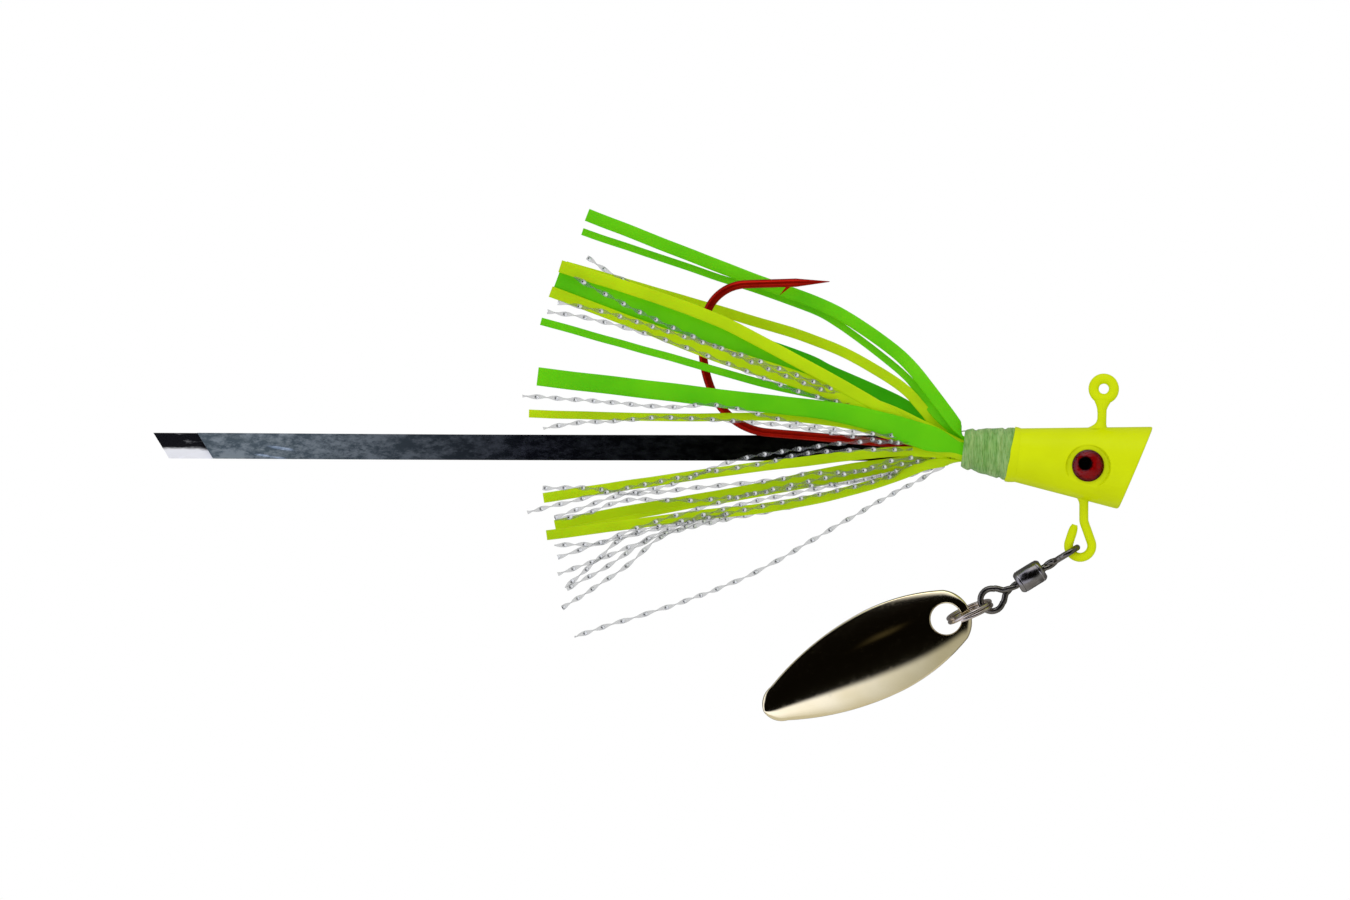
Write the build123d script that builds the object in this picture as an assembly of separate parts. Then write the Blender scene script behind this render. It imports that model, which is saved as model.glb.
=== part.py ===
from build123d import *
import math
import os

# A skirted jig spinner: a lead head moulded on a jig hook, a silicone and tinsel skirt bound on
# behind it, a long metallic film tail, and a willow blade that hangs under the head on a barrel
# swivel and a split ring. Millimetres. The origin is the centre of the line tie's hole, +X is the
# nose, +Z is up, and -Y is the near side.

# ---- driving dimensions ----
TILT = 7.0  # the head's axis falls this many degrees towards the nose
COLLAR_BACK = Vector(-17.6, 0, -7.45)  # where the skirt leaves its thread wrap
WRAP_LENGTH = 6.3
WRAP_BORE = 2.1
WRAP_REAR_R = 2.25
WRAP_FRONT_R = 3.35
HEAD_REAR_R = 3.3
HEAD_FRONT_R = 5.7
HEAD_FRONT_HALF_WIDTH = 4.9
HEAD_LENGTH = 17.8  # along the axis, before the front is cut off square to its rake
FACE_TOP = Vector(6.2, 0, -4.7)  # top of the raked front face
FACE_RAKE = 23.0  # the face leans this far back under the nose
COLLAR_R = 1.9  # lead collar under the front half of the wrap
COLLAR_LENGTH = 3.2

EYE_CENTRE = Vector(-2.03, 0, -9.6)
SOCKET_R = 2.8
SOCKET_FLOOR = 3.4  # from the middle plane
EYE_R = 2.0
FOIL_T = 0.2
LENS_RISE = 0.75

HOOK_R = 0.53  # hook wire
TIE_HOLE_R = 0.65
TIE_OUTER_R = 1.87
TIE_WIDTH = 1.06
SHANK_RISE = 4.9  # degrees, going aft
SPEAR_TAPER = 4.2

HANGER_R = 0.53
LOOP_R = 1.45  # centreline of the hanger's loop

SWIVEL_R = 0.39  # swivel wire
EYE_RING_R = 1.41  # centreline of each swivel eye
SWIVEL_DROP = 31.5  # the swivel points this far below level, going aft
SWIVEL_REACH = 12.97  # hanger loop centre to the lower eye's centre
EYE_HANG = 0.45  # how far the upper eye's wire sits from the hanger loop's centre
BARREL_AT = 7.34  # hanger loop centre to the barrel's middle
BARREL_HALF = 1.87
BARREL_R = 1.45
STEM_R = 0.40
STEM_HOLE_R = 0.46
KNOB_R = 0.9

RING_R = 2.83  # split ring centreline
RING_WIRE_R = 0.25
RING_DROP = 23.0
RING_SEAT = (-0.13, -0.38)  # ring wire's place in the lower eye, x and z from its centre

BLADE_T = 0.45
BLADE_DROP = 26.9
BLADE_HOLE_R = 1.95
BLADE_HOLE_SEAT = (-0.26, 0.13)  # hole centre from the ring's aft wire, x and z
BLADE_HEAD = 3.15  # hole centre to the blunt end
BLADE_TAIL = 25.6  # hole centre to the tip
BLADE_HALF_WIDTH = 5.55
BLADE_SWELL = 13.0  # radius of the dish across the blade
BLADE_SWEEP = 95.0  # radius of the dish along the blade

STRAND_T = 0.4
TINSEL_W = 0.5
TINSEL_T = 0.14
FILM_W = 3.2
FILM_T = 0.12

# Silicone strands: name, angle round the shank from the top towards the near side, distance from
# the shank's middle, width, and the points that the strand passes behind the wrap.
STRANDS = [
    ("strand_green_top", 11, 1.5, 1.5,
     [(-19.8, -0.4, -4.1), (-26.3, 1.2, 4.0), (-34.2, 2.6, 9.5), (-45.5, 3.4, 14.0), (-64.5, 4.4, 21.7)]),
    ("strand_green_slim", -10, 1.0, 0.9,
     [(-20.5, 0.8, -3.9), (-28.0, 2.3, 3.6), (-38.0, 3.8, 9.7), (-50.5, 4.6, 14.7), (-65.0, 5.6, 19.5)]),
    ("strand_yellow_far_top", -34, 1.5, 1.2,
     [(-21.1, 1.9, -4.1), (-27.1, 2.7, 1.1), (-34.8, 4.0, 5.6), (-45.3, 5.2, 8.9), (-67.3, 7.2, 15.4)]),
    ("strand_green_far_top", -52, 1.0, 1.2,
     [(-21.1, 2.4, -5.5), (-28.0, 4.2, -1.0), (-38.0, 5.6, 4.0), (-50.5, 7.4, 8.0), (-66.6, 9.4, 13.4)]),
    ("strand_yellow_near_top", 53, 1.5, 1.3,
     [(-21.7, -2.2, -5.1), (-28.1, -3.6, -1.1), (-37.1, -5.0, 3.4), (-50.2, -6.6, 9.2), (-67.7, -8.4, 15.1)]),
    ("strand_green_near_top", 32, 1.0, 1.8,
     [(-20.5, -0.9, -4.6), (-26.0, -2.1, -0.8), (-38.0, -4.0, 3.0), (-50.5, -5.4, 7.1), (-68.3, -7.0, 13.7)]),
    ("strand_yellow_high", 74, 1.0, 1.3,
     [(-21.7, -1.6, -5.6), (-28.0, -2.3, -2.9), (-38.0, -3.2, 0.9), (-50.5, -4.3, 5.2), (-69.1, -5.8, 12.1)]),
    ("strand_green_mid", 116, 1.0, 0.95,
     [(-21.7, -2.2, -6.5), (-32.6, -3.4, -1.7), (-42.0, -4.3, 0.5), (-54.5, -5.6, 4.0), (-70.3, -7.0, 8.4)]),
    ("strand_green_wide", 95, 1.5, 2.3,
     [(-21.7, -2.7, -6.2), (-32.6, -4.8, -3.1), (-45.5, -6.6, -1.5), (-58.0, -8.2, 0.0), (-70.7, -9.9, 1.5)]),
    ("strand_yellow_mid", 137, 1.5, 1.0,
     [(-21.1, -1.9, -7.5), (-25.5, -2.5, -6.2), (-32.6, -3.5, -4.4), (-41.6, -4.6, -3.5),
      (-54.5, -6.0, -3.6), (-71.8, -7.7, -3.1)]),
    ("strand_yellow_low", 158, 1.0, 1.25,
     [(-22.3, -1.5, -8.0), (-33.5, -3.0, -8.7), (-46.0, -4.4, -10.1), (-56.5, -5.6, -11.6),
      (-70.0, -7.0, -13.6)]),
    ("strand_yellow_lower", 200, 1.0, 1.25,
     [(-21.7, -0.1, -8.7), (-32.5, -1.0, -10.1), (-46.0, -2.0, -12.9), (-60.5, -3.0, -15.4),
      (-68.6, -3.5, -17.0)]),
    ("strand_yellow_lowest", 179, 1.5, 1.25,
     [(-22.0, -0.9, -9.5), (-25.7, -1.7, -10.9), (-31.5, -2.6, -12.7), (-40.5, -3.7, -14.6),
      (-52.2, -5.0, -16.0), (-69.6, -6.8, -18.3)]),
    ("strand_yellow_far_low", 221, 1.5, 1.2,
     [(-22.3, 1.9, -8.9), (-30.5, 3.2, -10.6), (-43.0, 4.6, -12.9), (-55.5, 5.9, -15.1),
      (-68.5, 7.2, -17.6)]),
]

# Tinsel strands: angle round the shank and the points passed, from the wrap to the tip.
TINSEL = [
    (-21, [(-22.3, 0.9, -5.0), (-30.5, 2.0, -0.4), (-43.0, 3.0, 5.5), (-50.5, 3.4, 9.2),
           (-58.0, 3.7, 12.6), (-62.5, 3.9, 15.0), (-64.6, 4.0, 16.5)]),
    (40, [(-22.3, -3.1, -4.3), (-30.5, -5.0, -1.9), (-40.8, -6.4, 2.0), (-50.0, -7.8, 5.9),
          (-58.3, -8.8, 9.7), (-66.2, -9.8, 13.9)]),
    (62, [(-22.3, -3.4, -5.0), (-30.5, -5.5, -2.4), (-39.3, -6.9, 0.0), (-48.0, -8.1, 3.5),
          (-56.1, -9.0, 6.5), (-64.1, -9.8, 8.7), (-69.5, -10.4, 9.6)]),
    (18, [(-22.3, -2.9, -3.7), (-31.7, -6.2, -0.9), (-43.0, -7.4, 3.4), (-50.6, -8.6, 5.9),
          (-57.3, -9.6, 8.0), (-63.0, -10.4, 9.7), (-68.2, -11.0, 10.7)]),
    (84, [(-22.3, -3.7, -6.2), (-29.2, -5.3, -5.6), (-38.0, -6.9, -4.4), (-48.1, -8.5, -2.1),
          (-54.5, -9.4, -2.3), (-63.0, -10.6, -1.6), (-72.6, -11.8, -0.9)]),
    (106, [(-22.3, -3.3, -7.0), (-29.2, -4.6, -6.3), (-34.2, -5.4, -5.5), (-41.7, -6.5, -4.4),
           (-54.5, -8.2, -3.6), (-60.5, -9.0, -4.0), (-66.1, -9.6, -4.3), (-70.0, -10.1, -5.0)]),
    (128, [(-22.0, -2.9, -8.4), (-26.6, -3.8, -9.0), (-30.8, -4.6, -10.3), (-37.1, -5.6, -10.6),
           (-41.2, -6.1, -11.4), (-50.5, -7.3, -12.3), (-58.7, -8.4, -13.1), (-64.2, -9.0, -12.4),
           (-70.1, -9.7, -12.4)]),
    (117, [(-22.3, -3.6, -7.7), (-29.7, -5.2, -7.6), (-37.5, -6.5, -8.1), (-42.5, -7.2, -9.3),
           (-50.5, -8.3, -10.6), (-61.5, -9.7, -12.8), (-66.7, -10.4, -14.1), (-72.0, -11.1, -15.4)]),
    (95, [(-22.3, -3.8, -7.0), (-26.5, -4.9, -6.7), (-31.6, -5.9, -6.7), (-38.6, -7.3, -7.6),
          (-46.3, -8.6, -9.0), (-53.6, -9.8, -11.8), (-61.5, -10.9, -13.6), (-68.6, -11.8, -16.1)]),
    (150, [(-23.2, -2.4, -9.4), (-27.8, -3.6, -10.8), (-32.5, -4.8, -11.8), (-37.6, -5.9, -12.2),
           (-42.3, -6.8, -12.9), (-50.5, -8.2, -13.9), (-59.5, -9.6, -13.9), (-64.2, -10.3, -15.4),
           (-68.5, -10.9, -16.4)]),
    (161, [(-22.3, -1.6, -9.6), (-30.5, -3.4, -11.4), (-38.0, -5.1, -12.9), (-45.2, -6.7, -14.4),
           (-52.8, -8.2, -16.5), (-57.6, -9.2, -17.6), (-62.7, -10.2, -19.2), (-68.6, -11.2, -19.5)]),
    (139, [(-22.3, -3.0, -8.9), (-31.7, -6.1, -10.5), (-43.0, -8.7, -12.9), (-50.5, -10.2, -14.9),
           (-57.6, -11.5, -17.1), (-62.7, -12.3, -19.1), (-65.2, -12.7, -20.0), (-68.2, -13.2, -21.0)]),
    (172, [(-22.3, -1.3, -9.8), (-29.2, -3.3, -12.2), (-38.0, -5.3, -14.3), (-46.7, -6.9, -16.3),
           (-53.3, -8.0, -18.0), (-58.3, -8.8, -19.8), (-63.1, -9.5, -21.5), (-68.2, -10.2, -23.1)]),
    (183, [(-22.3, -0.4, -10.0), (-30.5, -0.9, -12.6), (-40.5, -2.3, -15.6), (-50.5, -5.9, -16.9),
           (-59.8, -7.4, -18.6), (-63.3, -8.0, -21.4), (-67.3, -8.6, -24.8)]),
    (194, [(-22.3, 0.4, -10.0), (-30.5, 0.2, -12.6), (-40.5, -0.6, -15.6), (-50.5, -2.4, -17.6),
           (-57.3, -3.6, -19.7), (-61.6, -4.3, -21.9), (-67.1, -5.1, -25.0)]),
    (205, [(-22.3, 1.0, -10.2), (-28.0, 1.0, -12.2), (-38.0, 0.7, -15.6), (-48.0, 0.0, -17.9),
           (-55.1, -0.8, -19.3), (-59.2, -1.3, -21.8), (-63.6, -1.9, -24.8), (-67.7, -2.4, -27.4)]),
    (216, [(-22.7, 1.8, -11.2), (-27.2, 2.6, -13.6), (-34.3, 3.6, -17.7), (-43.6, 4.7, -23.0),
           (-52.7, 5.7, -26.7), (-62.8, 6.7, -29.9), (-66.2, 7.0, -31.1)]),
]

# The film tail: two ribbons, the longer one behind. Distance from the middle plane where each
# leaves the wrap, and the points it passes.
FILMS = [
    ("film_long", 1.54, [(-24.0, 1.8, -7.4), (-40.0, 2.3, -7.4), (-80.0, 3.0, -7.3), (-117.9, 3.4, -7.1)]),
    ("film_short", 1.38, [(-24.0, 1.6, -7.4), (-40.0, 2.0, -7.4), (-80.0, 2.6, -7.3), (-112.4, 3.0, -7.1)]),
]

NEAR = Vector(0, -1, 0)
UP = Vector(0, 0, 1)


# ---- helpers ----
def in_plane(degrees):
    """Unit direction in the middle plane, from +X towards +Z."""
    return Vector(math.cos(math.radians(degrees)), 0, math.sin(math.radians(degrees)))


AXIS = in_plane(-TILT)  # along the head, towards the nose
HEAD_PLANE = Plane(origin=COLLAR_BACK, x_dir=(0, 1, 0), z_dir=AXIS)


def bent_wire(start, heading, steps, radius):
    """Round wire in the middle plane. A step is a straight length or a (bend radius, turn)."""
    edges = []
    at = start
    for step in steps:
        if isinstance(step, tuple):
            bend, turn = step
            side = math.copysign(90, turn)
            centre = at + in_plane(heading + side) * bend
            middle = centre + in_plane(heading - side + turn / 2) * bend
            end = centre + in_plane(heading - side + turn) * bend
            edges.append(Edge.make_three_point_arc(at, middle, end))
            heading = heading + turn
        else:
            end = at + in_plane(heading) * step
            edges.append(Edge.make_line(at, end))
        at = end
    section = Plane(origin=start, z_dir=edges[0] % 0) * Circle(radius)
    return sweep(section, path=Wire(edges)), at, heading


def turned(origin, axis, outline):
    """Solid turned about an axis, from an outline of (distance along it, radius) points."""
    side = NEAR if abs(axis.dot(NEAR)) < 0.9 else UP
    out = axis.cross(side).normalized()
    points = [origin + axis * along + out * radius for along, radius in outline]
    return revolve(make_face(Polyline(*points, close=True)), axis=Axis(origin, axis))


def rod(origin, axis, start, end, radius):
    return Plane(origin=origin + axis * start, z_dir=axis) * Cylinder(
        radius, end - start, align=(Align.CENTER, Align.CENTER, Align.MIN)
    )


def ring(centre, axis, centreline, wire):
    return Plane(origin=centre, z_dir=axis) * Torus(centreline, wire)


def spline_points(points, spacing):
    """Points along a smooth curve through the given ones, closer together near its start."""
    ends = [points[0] * 2 - points[1]] + points + [points[-1] * 2 - points[-2]]
    out = [points[0]]
    for i in range(1, len(ends) - 2):
        p0, p1, p2, p3 = ends[i - 1 : i + 3]
        parts = max(1, round((p2 - p1).length / spacing))
        for k in range(1, parts + 1):
            t = k / parts
            curve = p1 * 2 + (p2 - p0) * t
            curve += (p0 * 2 - p1 * 5 + p2 * 4 - p3) * t**2
            curve += (p1 * 3 - p0 - p2 * 3 + p3) * t**3
            out.append(curve * 0.5)
    return out


def ribbon(root, facing, points, root_width, root_thick, width, thick, slant=0.0):
    """Flat strand: gripped under the wrap, then easing to its full width and turning to face sideways.

    slant is how far the lower corner of the cut end is behind the upper one.
    """
    line = spline_points([root] + [Vector(*p) for p in points], 5.0)
    line = [root + AXIS * 2.9] + line
    last = NEAR if facing.dot(NEAR) > -0.05 else NEAR * -1
    sections = []
    travelled = -2.9
    for i, at in enumerate(line):
        after = line[min(i + 1, len(line) - 1)]
        before = line[max(i - 1, 0)]
        along = (after - before).normalized() if i > 1 else AXIS * -1
        ease = min(1.0, max(0.0, travelled / 9.0))
        ease = ease * ease * (3 - 2 * ease)
        normal = facing * (1 - ease) + last * ease
        normal = (normal - along * normal.dot(along)).normalized()
        across = along.cross(normal).normalized()
        half_w = across * (root_width + (width - root_width) * ease) / 2
        half_t = normal * (root_thick + (thick - root_thick) * ease) / 2
        corners = [
            at + half_w + half_t,
            at - half_w + half_t,
            at - half_w - half_t,
            at + half_w - half_t,
        ]
        if slant and i == len(line) - 1:
            shift = along * slant / 2
            corners = [p + shift * (1 if (p - at).dot(UP) > 0 else -1) for p in corners]
        sections.append(Wire.make_polygon(corners, close=True))
        travelled += (after - at).length
    return Solid.make_loft(sections, ruled=True)


def slot(angle, distance):
    """Where a strand leaves the wrap, and the way its flat side faces there."""
    up = AXIS.cross(NEAR) * -1
    facing = up * math.cos(math.radians(angle)) + NEAR * math.sin(math.radians(angle))
    return COLLAR_BACK + facing * distance, facing


def save(name, shape):
    shape.label = name
    export_step(shape, f"parts/{name}.step")


# ---- hook and hanger, cast into the head ----
def line_tie():
    """The hook's own eye, flattened a little, with a straight land inside."""
    edge = 0.3
    half = TIE_WIDTH / 2
    outline = [
        (-half, TIE_HOLE_R + edge),
        (-half + edge, TIE_HOLE_R),
        (half - edge, TIE_HOLE_R),
        (half, TIE_HOLE_R + edge),
        (half, TIE_OUTER_R - edge),
        (half - edge, TIE_OUTER_R),
        (-half + edge, TIE_OUTER_R),
        (-half, TIE_OUTER_R - edge),
    ]
    return turned(Vector(0, 0, 0), Vector(0, 1, 0), outline)


def barb(root, heading):
    """Small cut barb that stands off the inner side of the spear and points away from the tip."""
    back = in_plane(heading + 180)
    down = in_plane(heading - 90)
    points = [
        root + down * 0.1,
        root + back * 1.75 + down * 1.15,
        root + back * 1.6 + down * 0.35,
        root + back * 1.9 + down * 0.1,
    ]
    blank = extrude(make_face(Polyline(*points, close=True)), 0.22, dir=(0, 1, 0), both=True)
    return blank


def jig_hook():
    steps = [5.95, (1.6, -93.4), 40.1, (8.2, -60.1), (15.0, -35.0), 0.5, (5.33, -78.2), 6.3]
    wire, spear, heading = bent_wire(Vector(-0.18, 0, -1.4), -91.5, steps, HOOK_R)
    tip = Plane(origin=spear, z_dir=in_plane(heading)) * Cone(
        HOOK_R, 0.05, SPEAR_TAPER, align=(Align.CENTER, Align.CENTER, Align.MIN)
    )
    cut = spear - in_plane(heading) * 0.4 + in_plane(heading - 90) * (HOOK_R - 0.12)
    return (wire + tip + barb(cut, heading) + line_tie()).solid()


def blade_hanger():
    """Separate wire cast into the belly: a stem and an almost closed teardrop loop."""
    steps = [5.3, (1.5, 19.6), 2.47, (LOOP_R, -217.6), 2.3]
    wire, _, _ = bent_wire(Vector(-2.5, 0, -11.0), -90.0, steps, HANGER_R)
    return wire


LOOP_CENTRE = Vector(-2.95, 0, -19.61)


# ---- head and eyes ----
def head(cast_in):
    rear = HEAD_PLANE.offset(WRAP_LENGTH) * Ellipse(HEAD_REAR_R, HEAD_REAR_R - 0.001)
    front = HEAD_PLANE.offset(WRAP_LENGTH + HEAD_LENGTH) * Ellipse(
        HEAD_FRONT_HALF_WIDTH, HEAD_FRONT_R
    )
    body = loft([rear, front], ruled=True)
    outward = in_plane(-FACE_RAKE)
    body -= Plane(origin=FACE_TOP, z_dir=outward) * Box(
        40, 40, 20, align=(Align.CENTER, Align.CENTER, Align.MIN)
    )
    body = fillet(body.edges().filter_by(lambda e: e.center().X > 1.5).sort_by(Axis.X)[-1:], 0.35)
    for side in (-1, 1):
        floor = EYE_CENTRE + Vector(0, side * SOCKET_FLOOR, -0.15)
        body -= rod(floor, Vector(0, side, 0), 0, 4, SOCKET_R)
    body += turned(
        Vector(-0.3, 0, -5.6), UP, [(0, 0), (0, 1.7), (0.8, 1.25), (1.5, 0.75), (1.8, 0)]
    )
    body += rod(COLLAR_BACK, AXIS, WRAP_LENGTH - COLLAR_LENGTH, WRAP_LENGTH + 0.5, COLLAR_R)
    for piece in cast_in:
        body -= piece
    return body.solid()


def eye(side):
    """Foil disc glued in the socket, and the domed lens on it."""
    out = Vector(0, side, 0)
    base = EYE_CENTRE + out * SOCKET_FLOOR
    foil = rod(base, out, 0, FOIL_T, EYE_R)
    globe = (EYE_R**2 + LENS_RISE**2) / (2 * LENS_RISE)
    dome = Pos(base + out * (FOIL_T + LENS_RISE - globe)) * Sphere(globe)
    lens = dome & rod(base, out, FOIL_T, FOIL_T + 2, EYE_R)
    return foil, lens.solid()


# ---- thread ----
def thread_wrap():
    """Bound floss: a tapered sleeve with the raised bands that its winding leaves."""
    rise = WRAP_FRONT_R - WRAP_REAR_R
    bands = [(0, 0), (0.9, 0.28), (1.6, 0.02), (2.4, 0.1), (4.6, 0.05), (5.1, -0.12), (5.6, 0.06)]
    outline = [(0, WRAP_BORE)]
    outline += [(along, WRAP_REAR_R + rise * along / WRAP_LENGTH + proud) for along, proud in bands]
    shoulder = WRAP_LENGTH - COLLAR_LENGTH
    outline += [(WRAP_LENGTH, WRAP_FRONT_R), (WRAP_LENGTH, COLLAR_R)]
    outline += [(shoulder, COLLAR_R), (shoulder, WRAP_BORE)]
    return turned(COLLAR_BACK, AXIS, outline)


def thread_tag():
    """The trimmed end of the floss, held against the skirt behind the wrap."""
    start = COLLAR_BACK + AXIS.cross(NEAR) * 2.18 + AXIS * -0.55
    return rod(start, AXIS, 0, 0.55, 0.07)


# ---- swivel, split ring and blade ----
ALONG = in_plane(180 + SWIVEL_DROP)  # down the swivel, away from the head


def swivel_eye(centre, ring_axis, towards_barrel, gap_start):
    """Eye, twisted neck, pin and the knob that keeps the pin in the barrel."""
    neck_end = gap_start - 0.12
    knob_start = gap_start + 0.48
    body = ring(centre, ring_axis, EYE_RING_R, SWIVEL_R)
    body += rod(centre, towards_barrel, EYE_RING_R - 0.05, neck_end, 0.55)
    body += rod(centre, towards_barrel, neck_end, knob_start + 0.1, STEM_R)
    body += rod(centre, towards_barrel, knob_start, knob_start + 0.5, KNOB_R)
    return body.solid()


def barrel():
    half = BARREL_HALF
    cavity = half - 0.42
    outline = [
        (-half, STEM_HOLE_R),
        (-half, 0.8),
        (-half + 0.18, 1.12),
        (-half + 0.55, BARREL_R),
        (half - 0.55, BARREL_R),
        (half - 0.18, 1.12),
        (half, 0.8),
        (half, STEM_HOLE_R),
        (cavity, STEM_HOLE_R),
        (cavity, 1.1),
        (-cavity, 1.1),
        (-cavity, STEM_HOLE_R),
    ]
    return turned(LOOP_CENTRE + ALONG * BARREL_AT, ALONG, outline)


UPPER_EYE = LOOP_CENTRE + ALONG * (EYE_HANG + EYE_RING_R)
LOWER_EYE = LOOP_CENTRE + ALONG * SWIVEL_REACH
RING_ALONG = in_plane(180 + RING_DROP)
RING_FORE = LOWER_EYE + Vector(RING_SEAT[0], 0, RING_SEAT[1])
RING_CENTRE = RING_FORE + RING_ALONG * RING_R
RING_AFT = RING_FORE + RING_ALONG * 2 * RING_R


def split_ring():
    """Two coils of wire pressed together."""
    axis = RING_ALONG.cross(NEAR)
    offset = RING_WIRE_R - 0.02
    coils = ring(RING_CENTRE + axis * offset, axis, RING_R, RING_WIRE_R)
    coils += ring(RING_CENTRE - axis * offset, axis, RING_R, RING_WIRE_R)
    return coils.solid()


def leaf_side(sign):
    """One long side of the blade: blunt end, two big arcs, tip."""
    turn_fore = (-1.3, 3.4)
    widest = (8.5, BLADE_HALF_WIDTH)
    turn_aft = (23.4, 2.35)
    points = [
        (-BLADE_HEAD, 0),
        (-2.75, 1.75),
        turn_fore,
        (3.4, 4.95),
        widest,
        (16.5, 4.65),
        turn_aft,
        (25.15, 1.2),
        (BLADE_TAIL, 0),
    ]
    points = [(x, sign * y) for x, y in points]
    return [ThreePointArc(*points[i : i + 3]) for i in range(0, len(points) - 2, 2)]


def blade():
    """Willow leaf with its dish: a shell cut to the leaf's outline."""
    hole = RING_AFT + Vector(BLADE_HOLE_SEAT[0], 0, BLADE_HOLE_SEAT[1])
    leaf_plane = Plane(origin=hole, x_dir=in_plane(180 + BLADE_DROP), z_dir=NEAR)
    outline = make_face(leaf_side(1) + leaf_side(-1))
    leaf = extrude(outline, 6, both=True)
    middle = 10.0
    crown = 1.1

    def swell(drop):
        """Solid whose curved side is the dish, drop below the crown."""
        apex = crown - drop
        span = 30.0
        sag = span**2 / (2 * BLADE_SWEEP)
        arc = ThreePointArc(
            (middle - span, 0, apex - sag), (middle, 0, apex), (middle + span, 0, apex - sag)
        )
        axis_z = crown - BLADE_SWELL
        low = [(middle + span, 0, axis_z), (middle - span, 0, axis_z)]
        sides = Polyline(arc @ 1, low[0], low[1], arc @ 0)
        return revolve(make_face([arc, sides]), axis=Axis((0, 0, axis_z), (1, 0, 0)))

    shell = leaf & (swell(0) - swell(BLADE_T))
    shell -= Cylinder(BLADE_HOLE_R, 20)
    upper = [s for s in shell.solids() if s.center().Z > crown - BLADE_SWELL]
    return leaf_plane * upper[0]


# ---- build ----
def main():
    os.makedirs("parts", exist_ok=True)
    hook = jig_hook()
    hanger = blade_hanger()
    save("jig_hook", hook)
    save("blade_hanger", hanger)
    save("head", head([hook, hanger]))
    for side, tag in ((-1, "near"), (1, "far")):
        foil, lens = eye(side)
        save(f"eye_foil_{tag}", foil)
        save(f"eye_lens_{tag}", lens)
    save("thread_wrap", thread_wrap())
    save("thread_tag", thread_tag())

    barrel_fore = BARREL_AT - BARREL_HALF - (UPPER_EYE - LOOP_CENTRE).length
    barrel_aft = SWIVEL_REACH - BARREL_AT - BARREL_HALF
    save("swivel_upper_eye", swivel_eye(UPPER_EYE, ALONG.cross(NEAR), ALONG, barrel_fore))
    save("swivel_barrel", barrel())
    save("swivel_lower_eye", swivel_eye(LOWER_EYE, NEAR, ALONG * -1, barrel_aft))
    save("split_ring", split_ring())
    save("blade", blade())

    for name, angle, distance, width, points in STRANDS:
        root, facing = slot(angle, distance)
        save(name, ribbon(root, facing, points, 0.55, 0.3, width, STRAND_T))
    for number, (angle, points) in enumerate(TINSEL, 1):
        root, facing = slot(angle, 1.92)
        save(f"tinsel_{number:02d}", ribbon(root, facing, points, 0.34, 0.12, TINSEL_W, TINSEL_T))
    for name, aside, points in FILMS:
        root = COLLAR_BACK + NEAR * -aside
        save(name, ribbon(root, NEAR * -1, points, 1.1, 0.08, FILM_W, FILM_T, 2.0))


main()
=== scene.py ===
import math  # noqa: E402
import random  # noqa: E402

import bmesh  # noqa: E402
import bpy  # noqa: E402
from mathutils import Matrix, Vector, noise  # noqa: E402


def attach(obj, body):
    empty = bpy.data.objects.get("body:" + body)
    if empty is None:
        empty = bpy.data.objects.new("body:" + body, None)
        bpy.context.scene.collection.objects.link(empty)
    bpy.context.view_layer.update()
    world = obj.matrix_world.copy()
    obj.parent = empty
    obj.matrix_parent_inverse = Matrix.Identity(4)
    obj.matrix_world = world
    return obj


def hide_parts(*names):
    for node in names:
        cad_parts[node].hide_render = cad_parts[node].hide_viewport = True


# The looks of a skirted jig spinner. Lengths below are millimetres in the CAD model's frame, and
# mesh_piece() turns them into metres.

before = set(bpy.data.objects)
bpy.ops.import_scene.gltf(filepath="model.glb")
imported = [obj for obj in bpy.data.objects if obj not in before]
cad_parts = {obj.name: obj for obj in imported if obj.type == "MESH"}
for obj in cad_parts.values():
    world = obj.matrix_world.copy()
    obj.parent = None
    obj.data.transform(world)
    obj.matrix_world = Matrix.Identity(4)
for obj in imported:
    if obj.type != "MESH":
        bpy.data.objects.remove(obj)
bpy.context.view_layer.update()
random.seed(11)

MM = 0.001
NEAR = Vector((0, -1, 0))
UP = Vector((0, 0, 1))


def in_plane(degrees):
    """Unit direction in the middle plane, from +X towards +Z."""
    return Vector((math.cos(math.radians(degrees)), 0, math.sin(math.radians(degrees))))


def smooth(x):
    x = min(1.0, max(0.0, x))
    return x * x * (3 - 2 * x)


def between(a, b, t):
    return a + (b - a) * t


def angles(count):
    """Equal steps round a full circle, in radians."""
    return [2 * math.pi * k / count for k in range(count)]


# ---- dimensions, as in the CAD model ----
TILT = 7.0
AXIS = in_plane(-TILT)
LIFT = in_plane(90 - TILT)
COLLAR_BACK = Vector((-17.6, 0, -7.45))
WRAP_LENGTH = 6.3
WRAP_REAR_R = 2.25
WRAP_FRONT_R = 3.35
HEAD_REAR_R = 3.3
HEAD_FRONT_R = 5.7
HEAD_FRONT_HALF_WIDTH = 4.9
HEAD_LENGTH = 17.8
FACE_TOP = Vector((6.2, 0, -4.7))
FACE_RAKE = 23.0
EYE_CENTRE = Vector((-2.03, 0, -9.6))
SOCKET_CENTRE = Vector((-2.03, 0, -9.75))
SOCKET_R = 2.8
SOCKET_FLOOR = 3.4
EYE_R = 2.0
FOIL_T = 0.2
LENS_RISE = 0.75
HOOK_R = 0.53
TIE_RING_R = 1.27
TIE_WIRE = (0.64, 0.53)  # in the ring's plane, and across it
PAINTED_R = 0.57  # the wires outside the head, with their paint
LOOP_R = 1.45
LOOP_CENTRE = Vector((-2.95, 0, -19.61))
SWIVEL_R = 0.39
EYE_RING_R = 1.41
ALONG = in_plane(180 + 31.5)
SWIVEL_REACH = 12.97
BARREL_AT = 7.34
BARREL_HALF = 1.87
BARREL_R = 1.45
UPPER_EYE = LOOP_CENTRE + ALONG * (0.45 + EYE_RING_R)
LOWER_EYE = LOOP_CENTRE + ALONG * SWIVEL_REACH
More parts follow.
